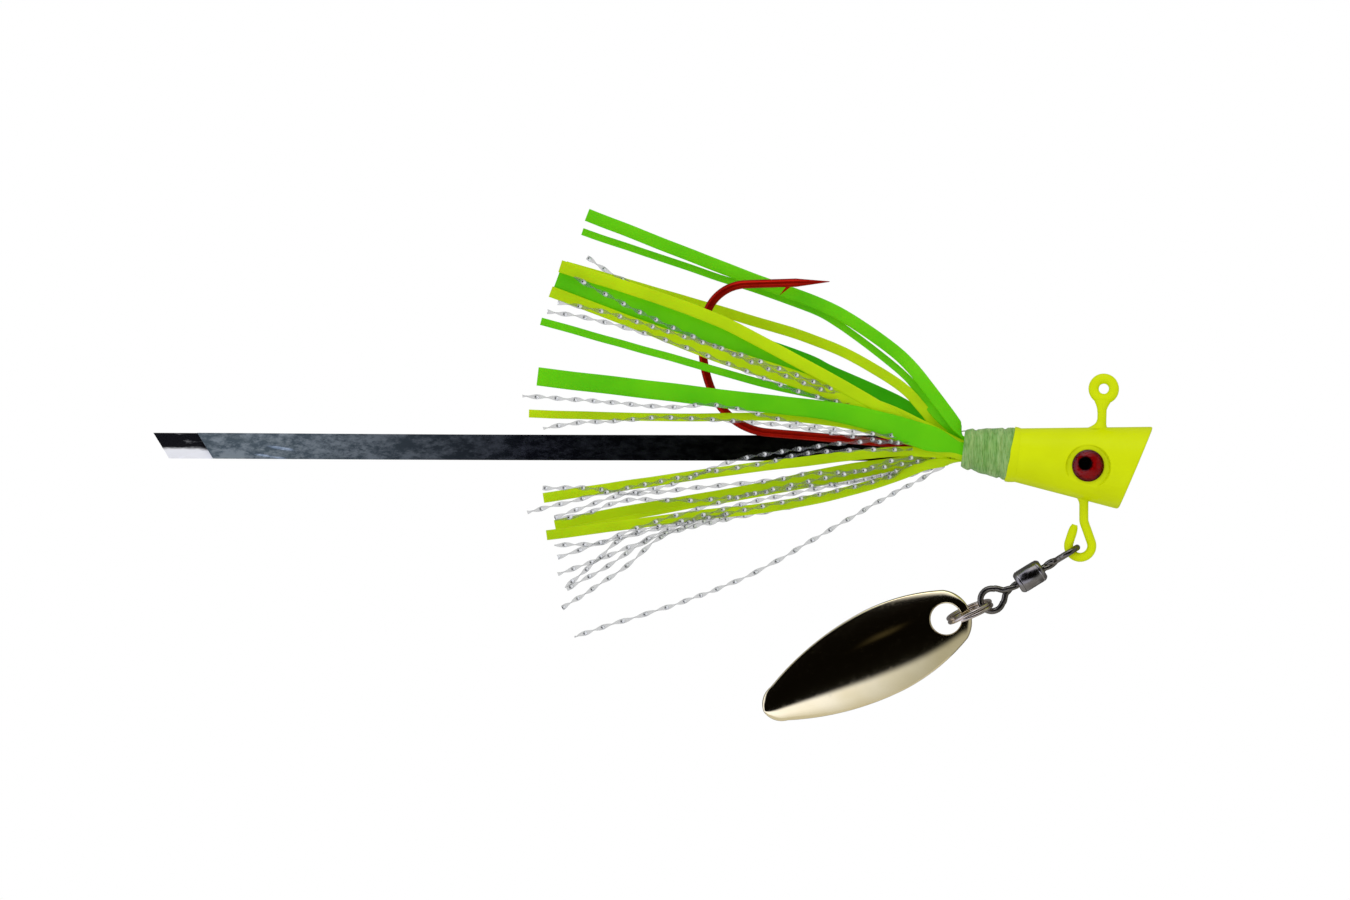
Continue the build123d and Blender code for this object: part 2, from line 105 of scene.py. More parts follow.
RING_R = 2.83
RING_WIRE_R = 0.25
RING_LEAN = 8.0  # the near side of the ring hangs a little lower
RING_ALONG = in_plane(180 + 23.0)
RING_FORE = LOWER_EYE + Vector((-0.13, 0, -0.38))
RING_CENTRE = RING_FORE + RING_ALONG * RING_R
RING_AFT = RING_FORE + RING_ALONG * 2 * RING_R
BLADE_T = 0.45
BLADE_HOLE = RING_AFT + Vector((-0.36, 0, 0.22))
BLADE_HOLE_R = 1.95
BLADE_ALONG = in_plane(180 + 26.9)
BLADE_ACROSS = in_plane(90 + 26.9)
BLADE_HEAD = 3.15
BLADE_TAIL = 25.6
BLADE_HALF_WIDTH = 5.55
BLADE_EDGE_SLOPE = 0.43
BLADE_SWEEP = 95.0
BLADE_CROWN = 1.1
BLADE_MIDDLE = 10.0
EDGE_ROLL = 0.26
HOLE_ROLL = 0.2
TIP_CROWDING = 0.72  # how much the blade's columns gather towards its tip
STRAND_T = 0.4
STRAND_SIDES = 20
TINSEL_W = 0.62
TINSEL_T = 0.05
TINSEL_CUP = 0.1
TINSEL_SECTION = [  # half widths and half thicknesses round the fibre
    (1, 0.4), (0.9, 1), (0.45, 1), (0, 1), (-0.45, 1), (-0.9, 1), (-1, 0.4),
    (-1, -0.4), (-0.9, -1), (-0.45, -1), (0, -1), (0.45, -1), (0.9, -1), (1, -0.4),
]
TINSEL_TURN = 5.0  # length of one full twist
GLINT_ASPECT = 0.25  # the ribbon's width over the length of half a twist
FILM_CREASES = [  # ends (x, z) of the soft folds near the film's cut end, and their depth
    ((-106.3, -6.5), (-100.2, -7.6), 0.13),
    ((-108.0, -7.6), (-100.4, -8.8), 0.13),
    ((-109.5, -8.2), (-106.6, -8.7), 0.08),
    ((-112.0, -6.1), (-108.5, -6.2), 0.06),
]
FILM_W = 3.2
FILM_T = 0.08
# From where to where along a film, in metres in the frame, something about it changes.
FILM_REFLECTION_X = (-0.045, -0.105)  # painted reflection: dark near the head to pale towards the cut end
FILM_BENT_X = (-0.1105, -0.1115)  # where the long film's bent end and its painted reflection begin
FILM_END_REFLECTION_Z = (-0.0071, -0.0083)  # painted reflection on the bent end: black above, bright below

TINSEL_ALPHA = 0.28  # of the clear film between the painted glints
GLINT_ALPHA = 0.45  # what a painted glint adds to it
EYE_SCALE = 0.5  # the foil disc's radius in its UV
PUPIL_OFFSET = (-0.085, 0.065)
PUPIL_EDGE = (0.19, 0.26)
IRIS_EDGE = (0.36, 0.49)

# Silicone strands: name, angle round the shank from the top towards the near side, distance from
# the shank's middle, width, and the points that the strand passes behind the wrap.
STRANDS = [
    ("strand_green_top", 11, 0.8, 1.6,
     [(-18.1, -1.0, -5.15), (-18.95, -1.9, -3.9), (-21.9, -2.2, 0.05), (-25.8, 0.2, 4.4),
      (-33.8, 2.2, 9.8),
      (-45.3, 3.4, 14.25), (-64.6, 4.4, 21.8)]),
    ("strand_green_slim", -10, 1.0, 0.9,
     [(-20.3, -1.2, -3.6), (-22.35, -0.6, -1.2), (-24.85, 0.2, 1.65), (-28.0, 1.6, 4.3),
      (-33.0, 3.0, 8.0), (-38.0, 3.7, 10.5), (-50.5, 4.6, 14.75), (-65.2, 5.6, 19.7)]),
    ("strand_yellow_far_top", -34, 1.2, 1.3,
     [(-20.9, -0.2, -4.6), (-22.35, -0.9, -2.8), (-24.85, -0.5, -0.1), (-28.6, 1.4, 2.45),
      (-34.8, 3.4, 5.6), (-45.3, 5.0, 8.95), (-67.3, 7.2, 15.4)]),
    ("strand_green_far_top", -52, 1.0, 2.1,
     [(-21.1, 2.0, -5.2), (-24.85, 2.9, -2.4), (-28.6, 4.2, -0.55), (-34.2, 5.0, 1.9),
      (-38.0, 5.6, 3.7), (-50.5, 7.4, 8.0), (-66.6, 9.4, 13.4)]),
    ("strand_yellow_near_top", 53, 1.0, 1.55,
     [(-21.9, -0.3, -6.5), (-24.6, -2.0, -4.7), (-26.9, -3.2, -3.1), (-30.5, -4.0, -0.9),
      (-36.1, -4.9, 2.2),
      (-45.5, -6.0, 7.2), (-50.5, -6.6, 9.45), (-58.0, -7.5, 12.1), (-67.9, -8.4, 15.25)]),
    ("strand_green_near_top", 32, 1.0, 2.7,
     [(-20.5, -0.9, -5.7), (-26.0, -1.9, -3.7), (-31.0, -2.6, -1.1), (-38.0, -3.4, 2.1),
      (-43.0, -4.0, 4.0),
      (-50.5, -4.9, 7.2), (-68.3, -6.8, 13.7)]),
    ("strand_yellow_high", 74, 1.0, 2.0,
     [(-21.7, -1.6, -5.5), (-26.0, -2.7, -3.4), (-30.5, -3.8, -1.7), (-38.0, -4.6, 1.0),
      (-50.5, -5.7, 5.1),
      (-69.1, -7.2, 12.1)]),
    ("strand_green_mid", 116, 1.0, 0.95,
     [(-21.7, -2.2, -6.5), (-32.6, -3.4, -1.7), (-42.0, -4.3, 0.5), (-54.5, -5.6, 4.0),
      (-70.3, -7.0, 8.4)]),
    ("strand_green_wide", 95, 1.5, 2.3,
     [(-21.7, -2.7, -6.2), (-32.6, -4.8, -3.1), (-45.5, -6.6, -1.5), (-58.0, -8.2, 0.0),
      (-70.7, -9.9, 1.5)]),
    ("strand_yellow_mid", 137, 1.5, 1.0,
     [(-21.1, -1.9, -7.5), (-25.5, -2.5, -6.2), (-32.6, -3.5, -4.4), (-41.6, -4.6, -3.5),
      (-54.5, -6.0, -3.6), (-71.8, -7.7, -3.1)]),
    ("strand_yellow_low", 158, 1.0, 1.25,
     [(-22.3, -1.5, -7.9), (-27.6, -2.4, -7.95), (-33.5, -3.0, -8.6), (-46.0, -4.4, -10.1),
      (-56.5, -5.6, -11.6), (-70.0, -7.0, -13.6)]),
    ("strand_yellow_lower", 200, 1.0, 1.25,
     [(-21.7, -0.1, -8.7), (-32.5, -1.0, -10.1), (-46.0, -2.0, -12.9), (-60.5, -3.0, -15.4),
      (-68.6, -3.5, -17.0)]),
    ("strand_yellow_lowest", 179, 1.5, 1.25,
     [(-22.0, -0.9, -9.5), (-25.7, -1.7, -10.9), (-31.5, -2.6, -12.7), (-40.5, -3.7, -14.6),
      (-52.2, -5.0, -16.0), (-69.6, -6.8, -18.3)]),
    ("strand_yellow_far_low", 221, 1.5, 1.2,
     [(-22.3, 1.9, -8.9), (-30.5, 3.2, -10.6), (-43.0, 4.6, -12.9), (-55.5, 5.9, -15.1),
      (-68.5, 7.2, -17.6)]),
]

# (distance from the wrap, width), for the strands that aren't equally wide all along.
SPREAD = {
    "strand_green_slim": [(0, 1.0), (3, 1.5), (6, 1.5), (11, 0.9)],
    "strand_green_near_top": [(0, 1.3), (8, 1.3), (16, 2.0), (24, 2.7)],
    "strand_green_wide": [(0, 2.6), (2.5, 3.4), (7, 3.1), (13, 2.6), (20, 2.3)],
    "strand_yellow_high": [(0, 2.1), (30, 2.1), (46, 1.4)],
}

# Tinsel fibres: angle round the shank and the points passed, from the wrap to the tip.
TINSEL = [
    (-21, [(-22.3, 0.9, -5.0), (-30.5, 2.0, -0.4), (-43.0, 3.0, 5.5), (-50.5, 3.4, 9.2),
           (-58.0, 3.7, 12.6), (-62.5, 3.9, 15.0), (-64.6, 4.0, 16.5)]),
    (40, [(-22.3, -0.8, -5.0), (-30.5, -3.2, -1.9), (-40.8, -6.4, 2.0), (-50.0, -7.8, 5.9),
          (-58.3, -8.8, 9.7), (-66.2, -9.8, 13.9)]),
    (62, [(-22.3, -0.9, -5.4), (-30.5, -3.4, -2.4), (-38.3, -6.4, -0.3), (-48.0, -8.1, 3.5),
          (-56.1, -9.0, 6.5), (-64.1, -9.8, 8.7), (-69.5, -10.4, 9.6)]),
    (18, [(-22.3, -0.7, -4.6), (-31.7, -3.6, -0.9), (-43.0, -7.4, 3.4), (-50.6, -8.6, 5.9),
          (-57.3, -9.6, 8.0), (-63.0, -10.4, 9.7), (-68.2, -11.0, 10.7)]),
    (84, [(-22.3, -3.7, -6.2), (-29.2, -5.3, -5.6), (-38.0, -6.9, -4.4), (-48.1, -8.5, -2.1),
          (-54.5, -9.4, -2.3), (-63.0, -10.6, -1.6), (-72.6, -11.8, -0.9)]),
    (106, [(-22.3, -3.3, -7.0), (-29.2, -4.6, -6.3), (-34.2, -5.4, -5.5), (-41.7, -6.5, -4.4),
           (-54.5, -8.2, -3.6), (-60.5, -9.0, -4.0), (-66.1, -9.6, -4.3), (-70.0, -10.1, -5.0)]),
    (128, [(-22.0, -2.9, -8.4), (-26.6, -3.8, -9.0), (-30.8, -4.6, -10.3), (-37.1, -5.6, -10.6),
           (-41.2, -6.1, -11.4), (-50.5, -7.3, -12.3), (-58.7, -8.4, -13.1), (-64.2, -9.0, -12.4),
           (-70.1, -9.7, -12.4)]),
    (117, [(-22.3, -3.6, -7.7), (-29.7, -5.2, -7.6), (-37.5, -6.5, -8.1), (-42.5, -7.2, -9.3),
           (-50.5, -8.3, -10.6), (-61.5, -9.7, -12.8), (-66.7, -10.4, -14.1),
           (-72.0, -11.1, -15.4)]),
    (95, [(-22.3, -3.8, -7.0), (-26.5, -4.9, -6.7), (-31.6, -5.9, -6.7), (-38.6, -7.3, -7.6),
          (-46.3, -8.6, -9.0), (-53.6, -9.8, -11.8), (-61.5, -10.9, -13.6),
          (-68.6, -11.8, -16.1)]),
    (150, [(-23.2, -2.4, -9.4), (-27.8, -3.6, -10.8), (-32.5, -4.8, -11.8), (-37.6, -5.9, -12.2),
           (-42.3, -6.8, -12.9), (-50.5, -8.2, -13.9), (-59.5, -9.6, -13.9),
           (-64.2, -10.3, -15.4),
           (-68.5, -10.9, -16.4)]),
    (161, [(-22.3, -1.6, -9.6), (-30.5, -3.4, -11.4), (-38.0, -5.1, -12.9), (-45.2, -6.7, -14.4),
           (-52.8, -8.2, -16.5), (-57.6, -9.2, -17.6), (-62.7, -10.2, -19.2),
           (-68.6, -11.2, -19.5)]),
    (139, [(-22.3, -3.0, -8.9), (-31.7, -6.1, -10.5), (-43.0, -8.7, -12.9), (-50.5, -10.2, -14.9),
           (-57.6, -11.5, -17.1), (-62.7, -12.3, -19.1), (-65.2, -12.7, -20.0),
           (-68.2, -13.2, -21.0)]),
    (172, [(-22.3, -1.3, -9.5), (-29.2, -3.3, -11.7), (-38.0, -5.3, -13.7), (-46.7, -6.9, -15.5),
           (-53.3, -8.0, -17.1), (-58.3, -8.8, -19.3), (-63.1, -9.5, -21.3),
           (-68.2, -10.2, -23.1)]),
    (183, [(-22.3, -0.4, -10.0), (-30.5, -0.9, -12.6), (-40.5, -2.3, -14.7), (-50.5, -5.9, -16.3),
           (-59.8, -7.4, -18.6), (-63.3, -8.0, -21.4), (-67.3, -8.6, -24.8)]),
    (194, [(-22.3, 0.4, -10.0), (-30.5, 0.2, -12.6), (-40.5, -0.6, -14.8), (-50.5, -2.4, -16.7),
           (-57.3, -3.6, -19.1), (-61.6, -4.3, -21.9), (-67.1, -5.1, -25.0)]),
    (205, [(-22.3, 1.0, -10.2), (-28.0, 1.0, -11.7), (-38.0, 0.7, -14.5), (-48.0, 0.0, -16.5),
           (-55.1, -0.8, -18.4), (-59.2, -1.3, -21.8), (-63.6, -1.9, -24.8),
           (-67.7, -2.4, -27.4)]),
    (216, [(-22.7, 1.8, -11.2), (-27.2, 2.6, -13.6), (-34.3, 3.6, -17.7), (-43.6, 4.7, -23.0),
           (-52.7, 5.7, -26.7), (-62.8, 6.7, -29.9), (-66.2, 7.0, -31.1)]),
]

# The film tail: two ribbons, the longer one behind. Distance from the middle plane where each
# leaves the wrap, and the points it passes.
FILMS = [
    ("film_long", 1.54, [(-24.0, 1.8, -7.4), (-40.0, 2.3, -7.4), (-80.0, 3.0, -7.3),
                         (-117.9, 3.4, -7.1)]),
    ("film_short", 1.38, [(-24.0, 1.6, -7.4), (-40.0, 2.0, -7.4), (-80.0, 2.6, -7.3),
                          (-112.4, 3.0, -7.1)]),
]


# ---- materials ----
class Shader:
    """A material's nodes, with short names for the ones used here."""

    def __init__(self, name):
        self.material = bpy.data.materials.new(name)
        self.material.use_nodes = True
        self.tree = self.material.node_tree
        self.bsdf = self.tree.nodes["Principled BSDF"]
        self.coords = self.tree.nodes.new("ShaderNodeTexCoord")

    def set(self, **values):
        names = {
            "colour": "Base Color",
            "metallic": "Metallic",
            "roughness": "Roughness",
            "coat": "Coat Weight",
            "coat_roughness": "Coat Roughness",
            "specular": "Specular IOR Level",
            "sheen": "Sheen Weight",
            "subsurface": "Subsurface Weight",
            "subsurface_scale": "Subsurface Scale",
            "transmission": "Transmission Weight",
            "ior": "IOR",
            "emission": "Emission Color",
            "glow": "Emission Strength",
        }
        for key, value in values.items():
            socket = self.bsdf.inputs[names[key]]
            if isinstance(value, bpy.types.NodeSocket):
                self.tree.links.new(value, socket)
            elif isinstance(value, tuple) and len(value) == 3:
                socket.default_value = (*value, 1)
            else:
                socket.default_value = value
        return self

    def node(self, kind, inputs=(), **settings):
        made = self.tree.nodes.new(kind)
        for key, value in settings.items():
            setattr(made, key, value)
        for index, value in inputs:
            if isinstance(value, bpy.types.NodeSocket):
                self.tree.links.new(value, made.inputs[index])
            else:
                made.inputs[index].default_value = value
        return made

    def place(self, source="Object", scale=(1, 1, 1), turn=(0, 0, 0)):
        made = self.node("ShaderNodeMapping", [("Vector", self.coords.outputs[source])])
        made.inputs["Scale"].default_value = scale
        made.inputs["Rotation"].default_value = turn
        return made.outputs["Vector"]

    def noise(self, vector, scale, detail=3.0, rough=0.5):
        inputs = [("Vector", vector), ("Scale", scale), ("Detail", detail), ("Roughness", rough)]
        return self.node("ShaderNodeTexNoise", inputs).outputs["Fac"]

    def ramp(self, fac, stops):
        made = self.node("ShaderNodeValToRGB", [("Fac", fac)])
        elements = made.color_ramp.elements
        while len(elements) < len(stops):
            elements.new(0.5)
        for element, (at, colour) in zip(elements, stops):
            element.position = at
            element.color = (*colour, 1)
        return made.outputs["Color"]

    def greys(self, fac, stops):
        return self.ramp(fac, [(at, (g, g, g)) for at, g in stops])

    def span(self, value, low, high):
        """0 at low and 1 at high, clamped."""
        made = self.node("ShaderNodeMapRange", [("Value", value), ("From Min", low)])
        made.inputs["From Max"].default_value = high
        return made.outputs[0]

    def maths(self, operation, a, b=0.0):
        made = self.node("ShaderNodeMath", [(0, a), (1, b)], operation=operation)
        return made.outputs[0]

    def mix(self, fac, a, b):
        made = self.node("ShaderNodeMix", data_type="RGBA")
        for socket, value in ((made.inputs[0], fac), (made.inputs[6], a), (made.inputs[7], b)):
            if isinstance(value, bpy.types.NodeSocket):
                self.tree.links.new(value, socket)
            elif isinstance(value, tuple):
                socket.default_value = (*value, 1)
            else:
                socket.default_value = value
        return made.outputs[2]

    def bump(self, height, strength, depth_mm):
        inputs = [("Height", height), ("Strength", strength), ("Distance", depth_mm * MM)]
        made = self.node("ShaderNodeBump", inputs)
        self.tree.links.new(made.outputs["Normal"], self.bsdf.inputs["Normal"])
        return self


def head_paint():
    s = Shader("chartreuse_paint")
    at = s.place()
    mottle = s.noise(at, 260, 4)
    colour = s.ramp(mottle, [(0.3, (0.56, 0.65, 0.0)), (0.7, (0.60, 0.70, 0.0))])
    s.set(colour=colour, roughness=s.greys(s.noise(at, 900, 3), [(0.3, 0.3), (0.7, 0.42)]))
    # painted glow: a weak emission keeps the paint's colour bright and flat
    s.set(specular=0.08, emission=(0.60, 0.70, 0.0), glow=0.05)
    return s.bump(s.noise(at, 420, 2), 0.25, 0.05).material


def hook_red():
    s = Shader("red_lacquered_wire")
    at = s.place()
    streak = s.noise(s.place(scale=(0.2, 1, 1)), 2600, 3)
    colour = s.ramp(s.noise(at, 330, 4), [(0.3, (0.24, 0.003, 0.001)), (0.7, (0.40, 0.008, 0.002))])
    s.set(colour=colour, metallic=0.62, roughness=s.greys(streak, [(0.3, 0.2), (0.7, 0.34)]))
    # painted glow: a weak emission keeps the red bright
    s.set(specular=0.06, emission=(0.35, 0.005, 0.0), glow=0.08)
    return s.bump(streak, 0.12, 0.02).material


def floss():
    s = Shader("sage_floss")
    turn = (0, math.radians(-TILT), 0)
    fibres = s.noise(s.place(scale=(9, 1, 1), turn=turn), 900, 4, 0.6)
    bands = s.noise(s.place(scale=(3, 0.3, 0.3), turn=turn), 420, 2)
    pale = s.ramp(bands, [(0.35, (0.19, 0.38, 0.08)), (0.6, (0.30, 0.47, 0.15))])
    dark = s.ramp(bands, [(0.35, (0.07, 0.22, 0.02)), (0.6, (0.16, 0.31, 0.06))])
    colour = s.mix(s.greys(fibres, [(0.36, 0.0), (0.56, 1.0)]), dark, pale)
    s.set(colour=colour, roughness=0.45, sheen=0.15, specular=0.2)
    s.set(subsurface=0.2, subsurface_scale=0.0005)
    return s.bump(fibres, 0.5, 0.05).material


def silicone(name, light, deep):
    """Skirt rubber: satin, slightly clear, with faint ribs along the strand."""
    s = Shader(name)
    along = s.place("UV", (40, 0.25, 1))
    ribs = s.noise(along, 3, 2)
    clouds = s.noise(s.place(), 120, 3)
    colour = s.mix(s.greys(clouds, [(0.35, 0.0), (0.65, 1.0)]), deep, light)
    s.set(colour=colour, roughness=s.greys(ribs, [(0.3, 0.4), (0.7, 0.55)]), specular=0.1)
    # painted glow: emission in the rubber's own paler colour brightens it and flattens its shading
    s.set(subsurface=0.25, subsurface_scale=0.0008, emission=light, glow=0.22)
    return s.bump(ribs, 0.2, 0.03).material


def tinsel_silver():
    """Half-clear grey flash. UV x runs across, y counts half twists, with a painted glint at each:
    a paler opaque patch, a white painted highlight and a black painted reflection beside it."""
    s = Shader("tinsel_silver")
    part = s.node("ShaderNodeSeparateXYZ", [(0, s.coords.outputs["UV"])])
    step = s.maths("FRACT", part.outputs["Y"])
    across = s.maths("MULTIPLY", s.maths("SUBTRACT", part.outputs["X"], 0.5), GLINT_ASPECT)

    def spot(middle, inner, outer):
        lengthways = s.maths("SUBTRACT", step, middle)
        square = s.maths("ADD", s.maths("POWER", lengthways, 2), s.maths("POWER", across, 2))
        return s.greys(s.maths("SQRT", square), [(inner, 1.0), (outer, 0.0)])

    # painted glint: a paler, opaque, slightly metallic patch at each half twist
    glint = spot(0.5, 0.10, 0.13)
    grain = s.noise(s.place("UV", (3, 6, 1)), 4, 3)
    film = s.ramp(grain, [(0.3, (0.13, 0.135, 0.13)), (0.7, (0.22, 0.225, 0.215))])
    colour = s.mix(glint, film, (0.55, 0.555, 0.54))
    # a black painted reflection beside the glint's middle
    colour = s.mix(spot(0.545, 0.03, 0.06), colour, (0.01, 0.01, 0.01))
    # a white painted highlight in the glint
    colour = s.mix(spot(0.46, 0.05, 0.075), colour, (1.0, 1.0, 1.0))
    s.set(colour=colour, metallic=s.maths("MULTIPLY", glint, 0.25))
    s.set(roughness=s.greys(grain, [(0.3, 0.16), (0.7, 0.3)]), specular=0.35)
    opaque = s.maths("MULTIPLY", glint, GLINT_ALPHA)
    s.tree.links.new(s.maths("ADD", TINSEL_ALPHA, opaque), s.bsdf.inputs["Alpha"])
    return s.bump(grain, 0.15, 0.02).material


def film_chrome(name, bent_end_reflection):
    """Mirror film, its colour painted reflection: darker near the head, paler towards the cut end,
    with paler painted streaks; the same noise scuffs its roughness and surface.
    """
    s = Shader(name)
    where = s.node("ShaderNodeSeparateXYZ", [(0, s.coords.outputs["Object"])])
    aft = s.span(where.outputs["X"], *FILM_REFLECTION_X)
    scuff_and_reflection = s.noise(s.place(scale=(0.5, 1, 1)), 900, 6, 0.75)
    # painted reflection: a dark ramp along the film, and a paler one that the noise picks in
    # streaks
    dark_reflection = [(0.0, (0.004, 0.004, 0.003)), (0.45, (0.013, 0.014, 0.022)), (1.0, (0.13, 0.17, 0.20))]
    pale_reflection = [(0.0, (0.020, 0.021, 0.018)), (0.45, (0.065, 0.07, 0.095)), (1.0, (0.36, 0.42, 0.46))]
    pale_reflection_mask = s.greys(scuff_and_reflection, [(0.44, 0.0), (0.60, 1.0)])
    colour = s.mix(pale_reflection_mask, s.ramp(aft, dark_reflection), s.ramp(aft, pale_reflection))
    metallic = s.greys(aft, [(0.3, 0.8), (0.9, 0.5)])
    if bent_end_reflection:  # the last few millimetres face another way, with painted reflection: black above, bright below
        end_reflection_streaks = s.noise(s.place(scale=(0.25, 1, 1)), 1400, 4, 0.6)
        down = s.span(where.outputs["Z"], *FILM_END_REFLECTION_Z)
        fall = s.maths("ADD", down, s.maths("MULTIPLY", end_reflection_streaks, 0.9))
        lit = s.greys(fall, [(0.55, 0.0), (0.95, 1.0)])
        end = s.span(where.outputs["X"], *FILM_BENT_X)
        colour = s.mix(end, colour, s.mix(lit, (0.008, 0.008, 0.01), (0.82, 0.82, 0.84)))
        metallic = s.mix(end, metallic, (0.05, 0.05, 0.05))
    s.set(colour=colour, metallic=metallic)
    s.set(roughness=s.greys(scuff_and_reflection, [(0.35, 0.08), (0.7, 0.24)]))
    return s.bump(scuff_and_reflection, 0.3, 0.04).material


def plated(name, light, dark, low, high):
    """Plated wire and barrel: fine drawing marks and a few duller patches."""
    s = Shader(name)
    at = s.place()
    patch = s.noise(at, 700, 4)
    marks = s.noise(at, 3000, 2)
    s.set(colour=s.ramp(patch, [(0.3, dark), (0.7, light)]), metallic=1.0)
    s.set(roughness=s.greys(marks, [(0.3, low), (0.7, high)]))
    return s.bump(marks, 0.15, 0.02).material


def blade_gold():
    s = Shader("gold_plate")
    at = s.place()
    specks = s.noise(at, 1500, 5, 0.7)
    waves = s.noise(at, 190, 2)
    colour = s.ramp(waves, [(0.3, (0.78, 0.65, 0.36)), (0.7, (0.86, 0.74, 0.46))])
    s.set(colour=colour, metallic=1.0, roughness=s.greys(specks, [(0.55, 0.09), (0.75, 0.18)]))
    return s.bump(s.maths("ADD", waves, s.maths("MULTIPLY", specks, 0.08)), 0.12, 0.06).material


def eye_print():
    """Foil disc: off-centre black pupil, radially brushed red iris, darker towards the rim.

    The disc's UV is its plane, with the rim at radius 0.5 round (0.5, 0.5).
    """
    s = Shader("eye_print")

    def away_from(x, y):
        made = s.node("ShaderNodeVectorMath", [(0, s.coords.outputs["UV"])], operation="DISTANCE")
        made.inputs[1].default_value = (EYE_SCALE + x, EYE_SCALE + y, 0)
        return made.outputs["Value"]

    pupil, rim = away_from(*PUPIL_OFFSET), away_from(0, 0)
    brushed = s.noise(s.place("UV"), 14, 4)
    red = s.ramp(brushed, [(0.3, (0.42, 0.001, 0.001)), (0.7, (0.72, 0.004, 0.003))])
    edge = s.greys(rim, [(IRIS_EDGE[0], 0.0), (IRIS_EDGE[1], 1.0)])
    red = s.mix(edge, red, (0.12, 0.002, 0.001))
    inside = s.greys(pupil, [(PUPIL_EDGE[0], 0.0), (PUPIL_EDGE[1], 1.0)])
    s.set(colour=s.mix(inside, (0.002, 0.001, 0.001), red), roughness=0.4, specular=0.05)
    return s.bump(brushed, 0.1, 0.03).material


def clear_dome():
    s = Shader("clear_dome")
    at = s.place()
    tint = s.ramp(s.noise(at, 300), [(0.3, (0.97, 0.95, 0.95)), (0.7, (1.0, 1.0, 1.0))])
    s.set(colour=tint, roughness=s.greys(s.noise(at, 1500), [(0.3, 0.0), (0.7, 0.04)]))
    s.set(transmission=1.0, ior=1.25, specular=0.1)
    return s.material


PAINT = head_paint()
RED = hook_red()
FLOSS = floss()
GREEN = silicone("green_silicone", (0.115, 0.49, 0.0), (0.070, 0.41, 0.0))
# a darker copy of the green: painted shade for the strand that lies behind the others
GREEN_PAINTED_SHADE = silicone("green_silicone_painted_shade", (0.045, 0.40, 0.0), (0.03, 0.33, 0.0))
YELLOW = silicone("yellow_silicone", (0.40, 0.57, 0.0), (0.31, 0.47, 0.0))
TINSEL_SILVER = tinsel_silver()
# the films' colour is painted reflection
FILM_CHROME = film_chrome("chrome_film", False)
FILM_BENT_REFLECTION = film_chrome("chrome_film_painted_end", True)
GUNMETAL = plated("gunmetal", (0.20, 0.18, 0.15), (0.11, 0.10, 0.08), 0.2, 0.36)
BARREL_DARK = plated("dark_barrel", (0.27, 0.25, 0.23), (0.15, 0.135, 0.12), 0.16, 0.3)
NICKEL = plated("nickel", (0.62, 0.53, 0.45), (0.40, 0.34, 0.28), 0.18, 0.32)
GOLD = blade_gold()
EYE_PRINT = eye_print()
DOME = clear_dome()


# ---- mesh building ----
def grid(rows, wrap=True, cap_start=False, cap_end=False):
    """Vertices and faces of rows of points, each row the same length. wrap joins a row's ends."""
    count = len(rows[0])
    verts = [p for row in rows for p in row]
    faces = []
    for r in range(len(rows) - 1):
        for c in range(count if wrap else count - 1):
            n = (c + 1) % count
            faces.append((r * count + c, r * count + n, (r + 1) * count + n, (r + 1) * count + c))
    if cap_start:
        faces.append(tuple(range(count))[::-1])
    if cap_end:
        base = (len(rows) - 1) * count
        faces.append(tuple(range(base, base + count)))
    return verts, faces


def solid(rows):
    """Rows joined round, with both ends closed."""
    return grid(rows, True, True, True)


def joined(*parts):
    verts, faces = [], []
    for v, f in parts:
        faces += [tuple(i + len(verts) for i in face) for face in f]
        verts += v
    return verts, faces


def in_scene(name, data):
    made = bpy.data.objects.new(name, data)
    bpy.context.scene.collection.objects.link(made)
    return made


def mesh_piece(name, shape, material, body, nodes, uv=None, sharp=40):
    """A finished piece from (vertices in mm, faces), standing for the CAD nodes named."""
    verts, faces = shape
    mesh = bpy.data.meshes.new(name)
    mesh.from_pydata([Vector(v) * MM for v in verts], [], faces)
    mesh.update()
    if uv:
        layer = mesh.uv_layers.new(name="UVMap")
        for loop in mesh.loops:
            layer.data[loop.index].uv = uv[loop.vertex_index]
    mesh.shade_smooth()
    mesh.set_sharp_from_angle(angle=math.radians(sharp))
    mesh.materials.append(material)
    piece = in_scene(name, mesh)
    fix_normals(mesh)
    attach(piece, body)
    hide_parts(*nodes)
    return piece


def fix_normals(mesh):
    work = bmesh.new()
    work.from_mesh(mesh)
    bmesh.ops.recalc_face_normals(work, faces=work.faces)
    work.to_mesh(mesh)
    work.free()


def frames(points, closed=False):
    """(point, tangent, side, other side) along a path, turning as little as possible."""
    out = []
    side = None
    last = len(points) - 1
    for i, p in enumerate(points):
        if closed:
            tangent = points[(i + 1) % len(points)] - points[i - 1]
        else:
            tangent = points[min(i + 1, last)] - points[max(i - 1, 0)]
        tangent = tangent.normalized()
        if side is None:
            side = NEAR if abs(tangent.dot(NEAR)) < 0.9 else UP
        side = (side - tangent * side.dot(tangent)).normalized()
        out.append((p, tangent, side, tangent.cross(side)))
    return out


def tube(points, radius, sides=20, closed=False):
    """Round wire. radius is a number, or a function of (index, count)."""
    rows = []
    for i, (p, _, a, b) in enumerate(frames(points, closed)):
        r = radius(i, len(points)) if callable(radius) else radius
        rows.append([p + a * (r * math.cos(t)) + b * (r * math.sin(t)) for t in angles(sides)])
    if closed:
        rows.append(rows[0])
    return grid(rows, True, not closed, not closed)


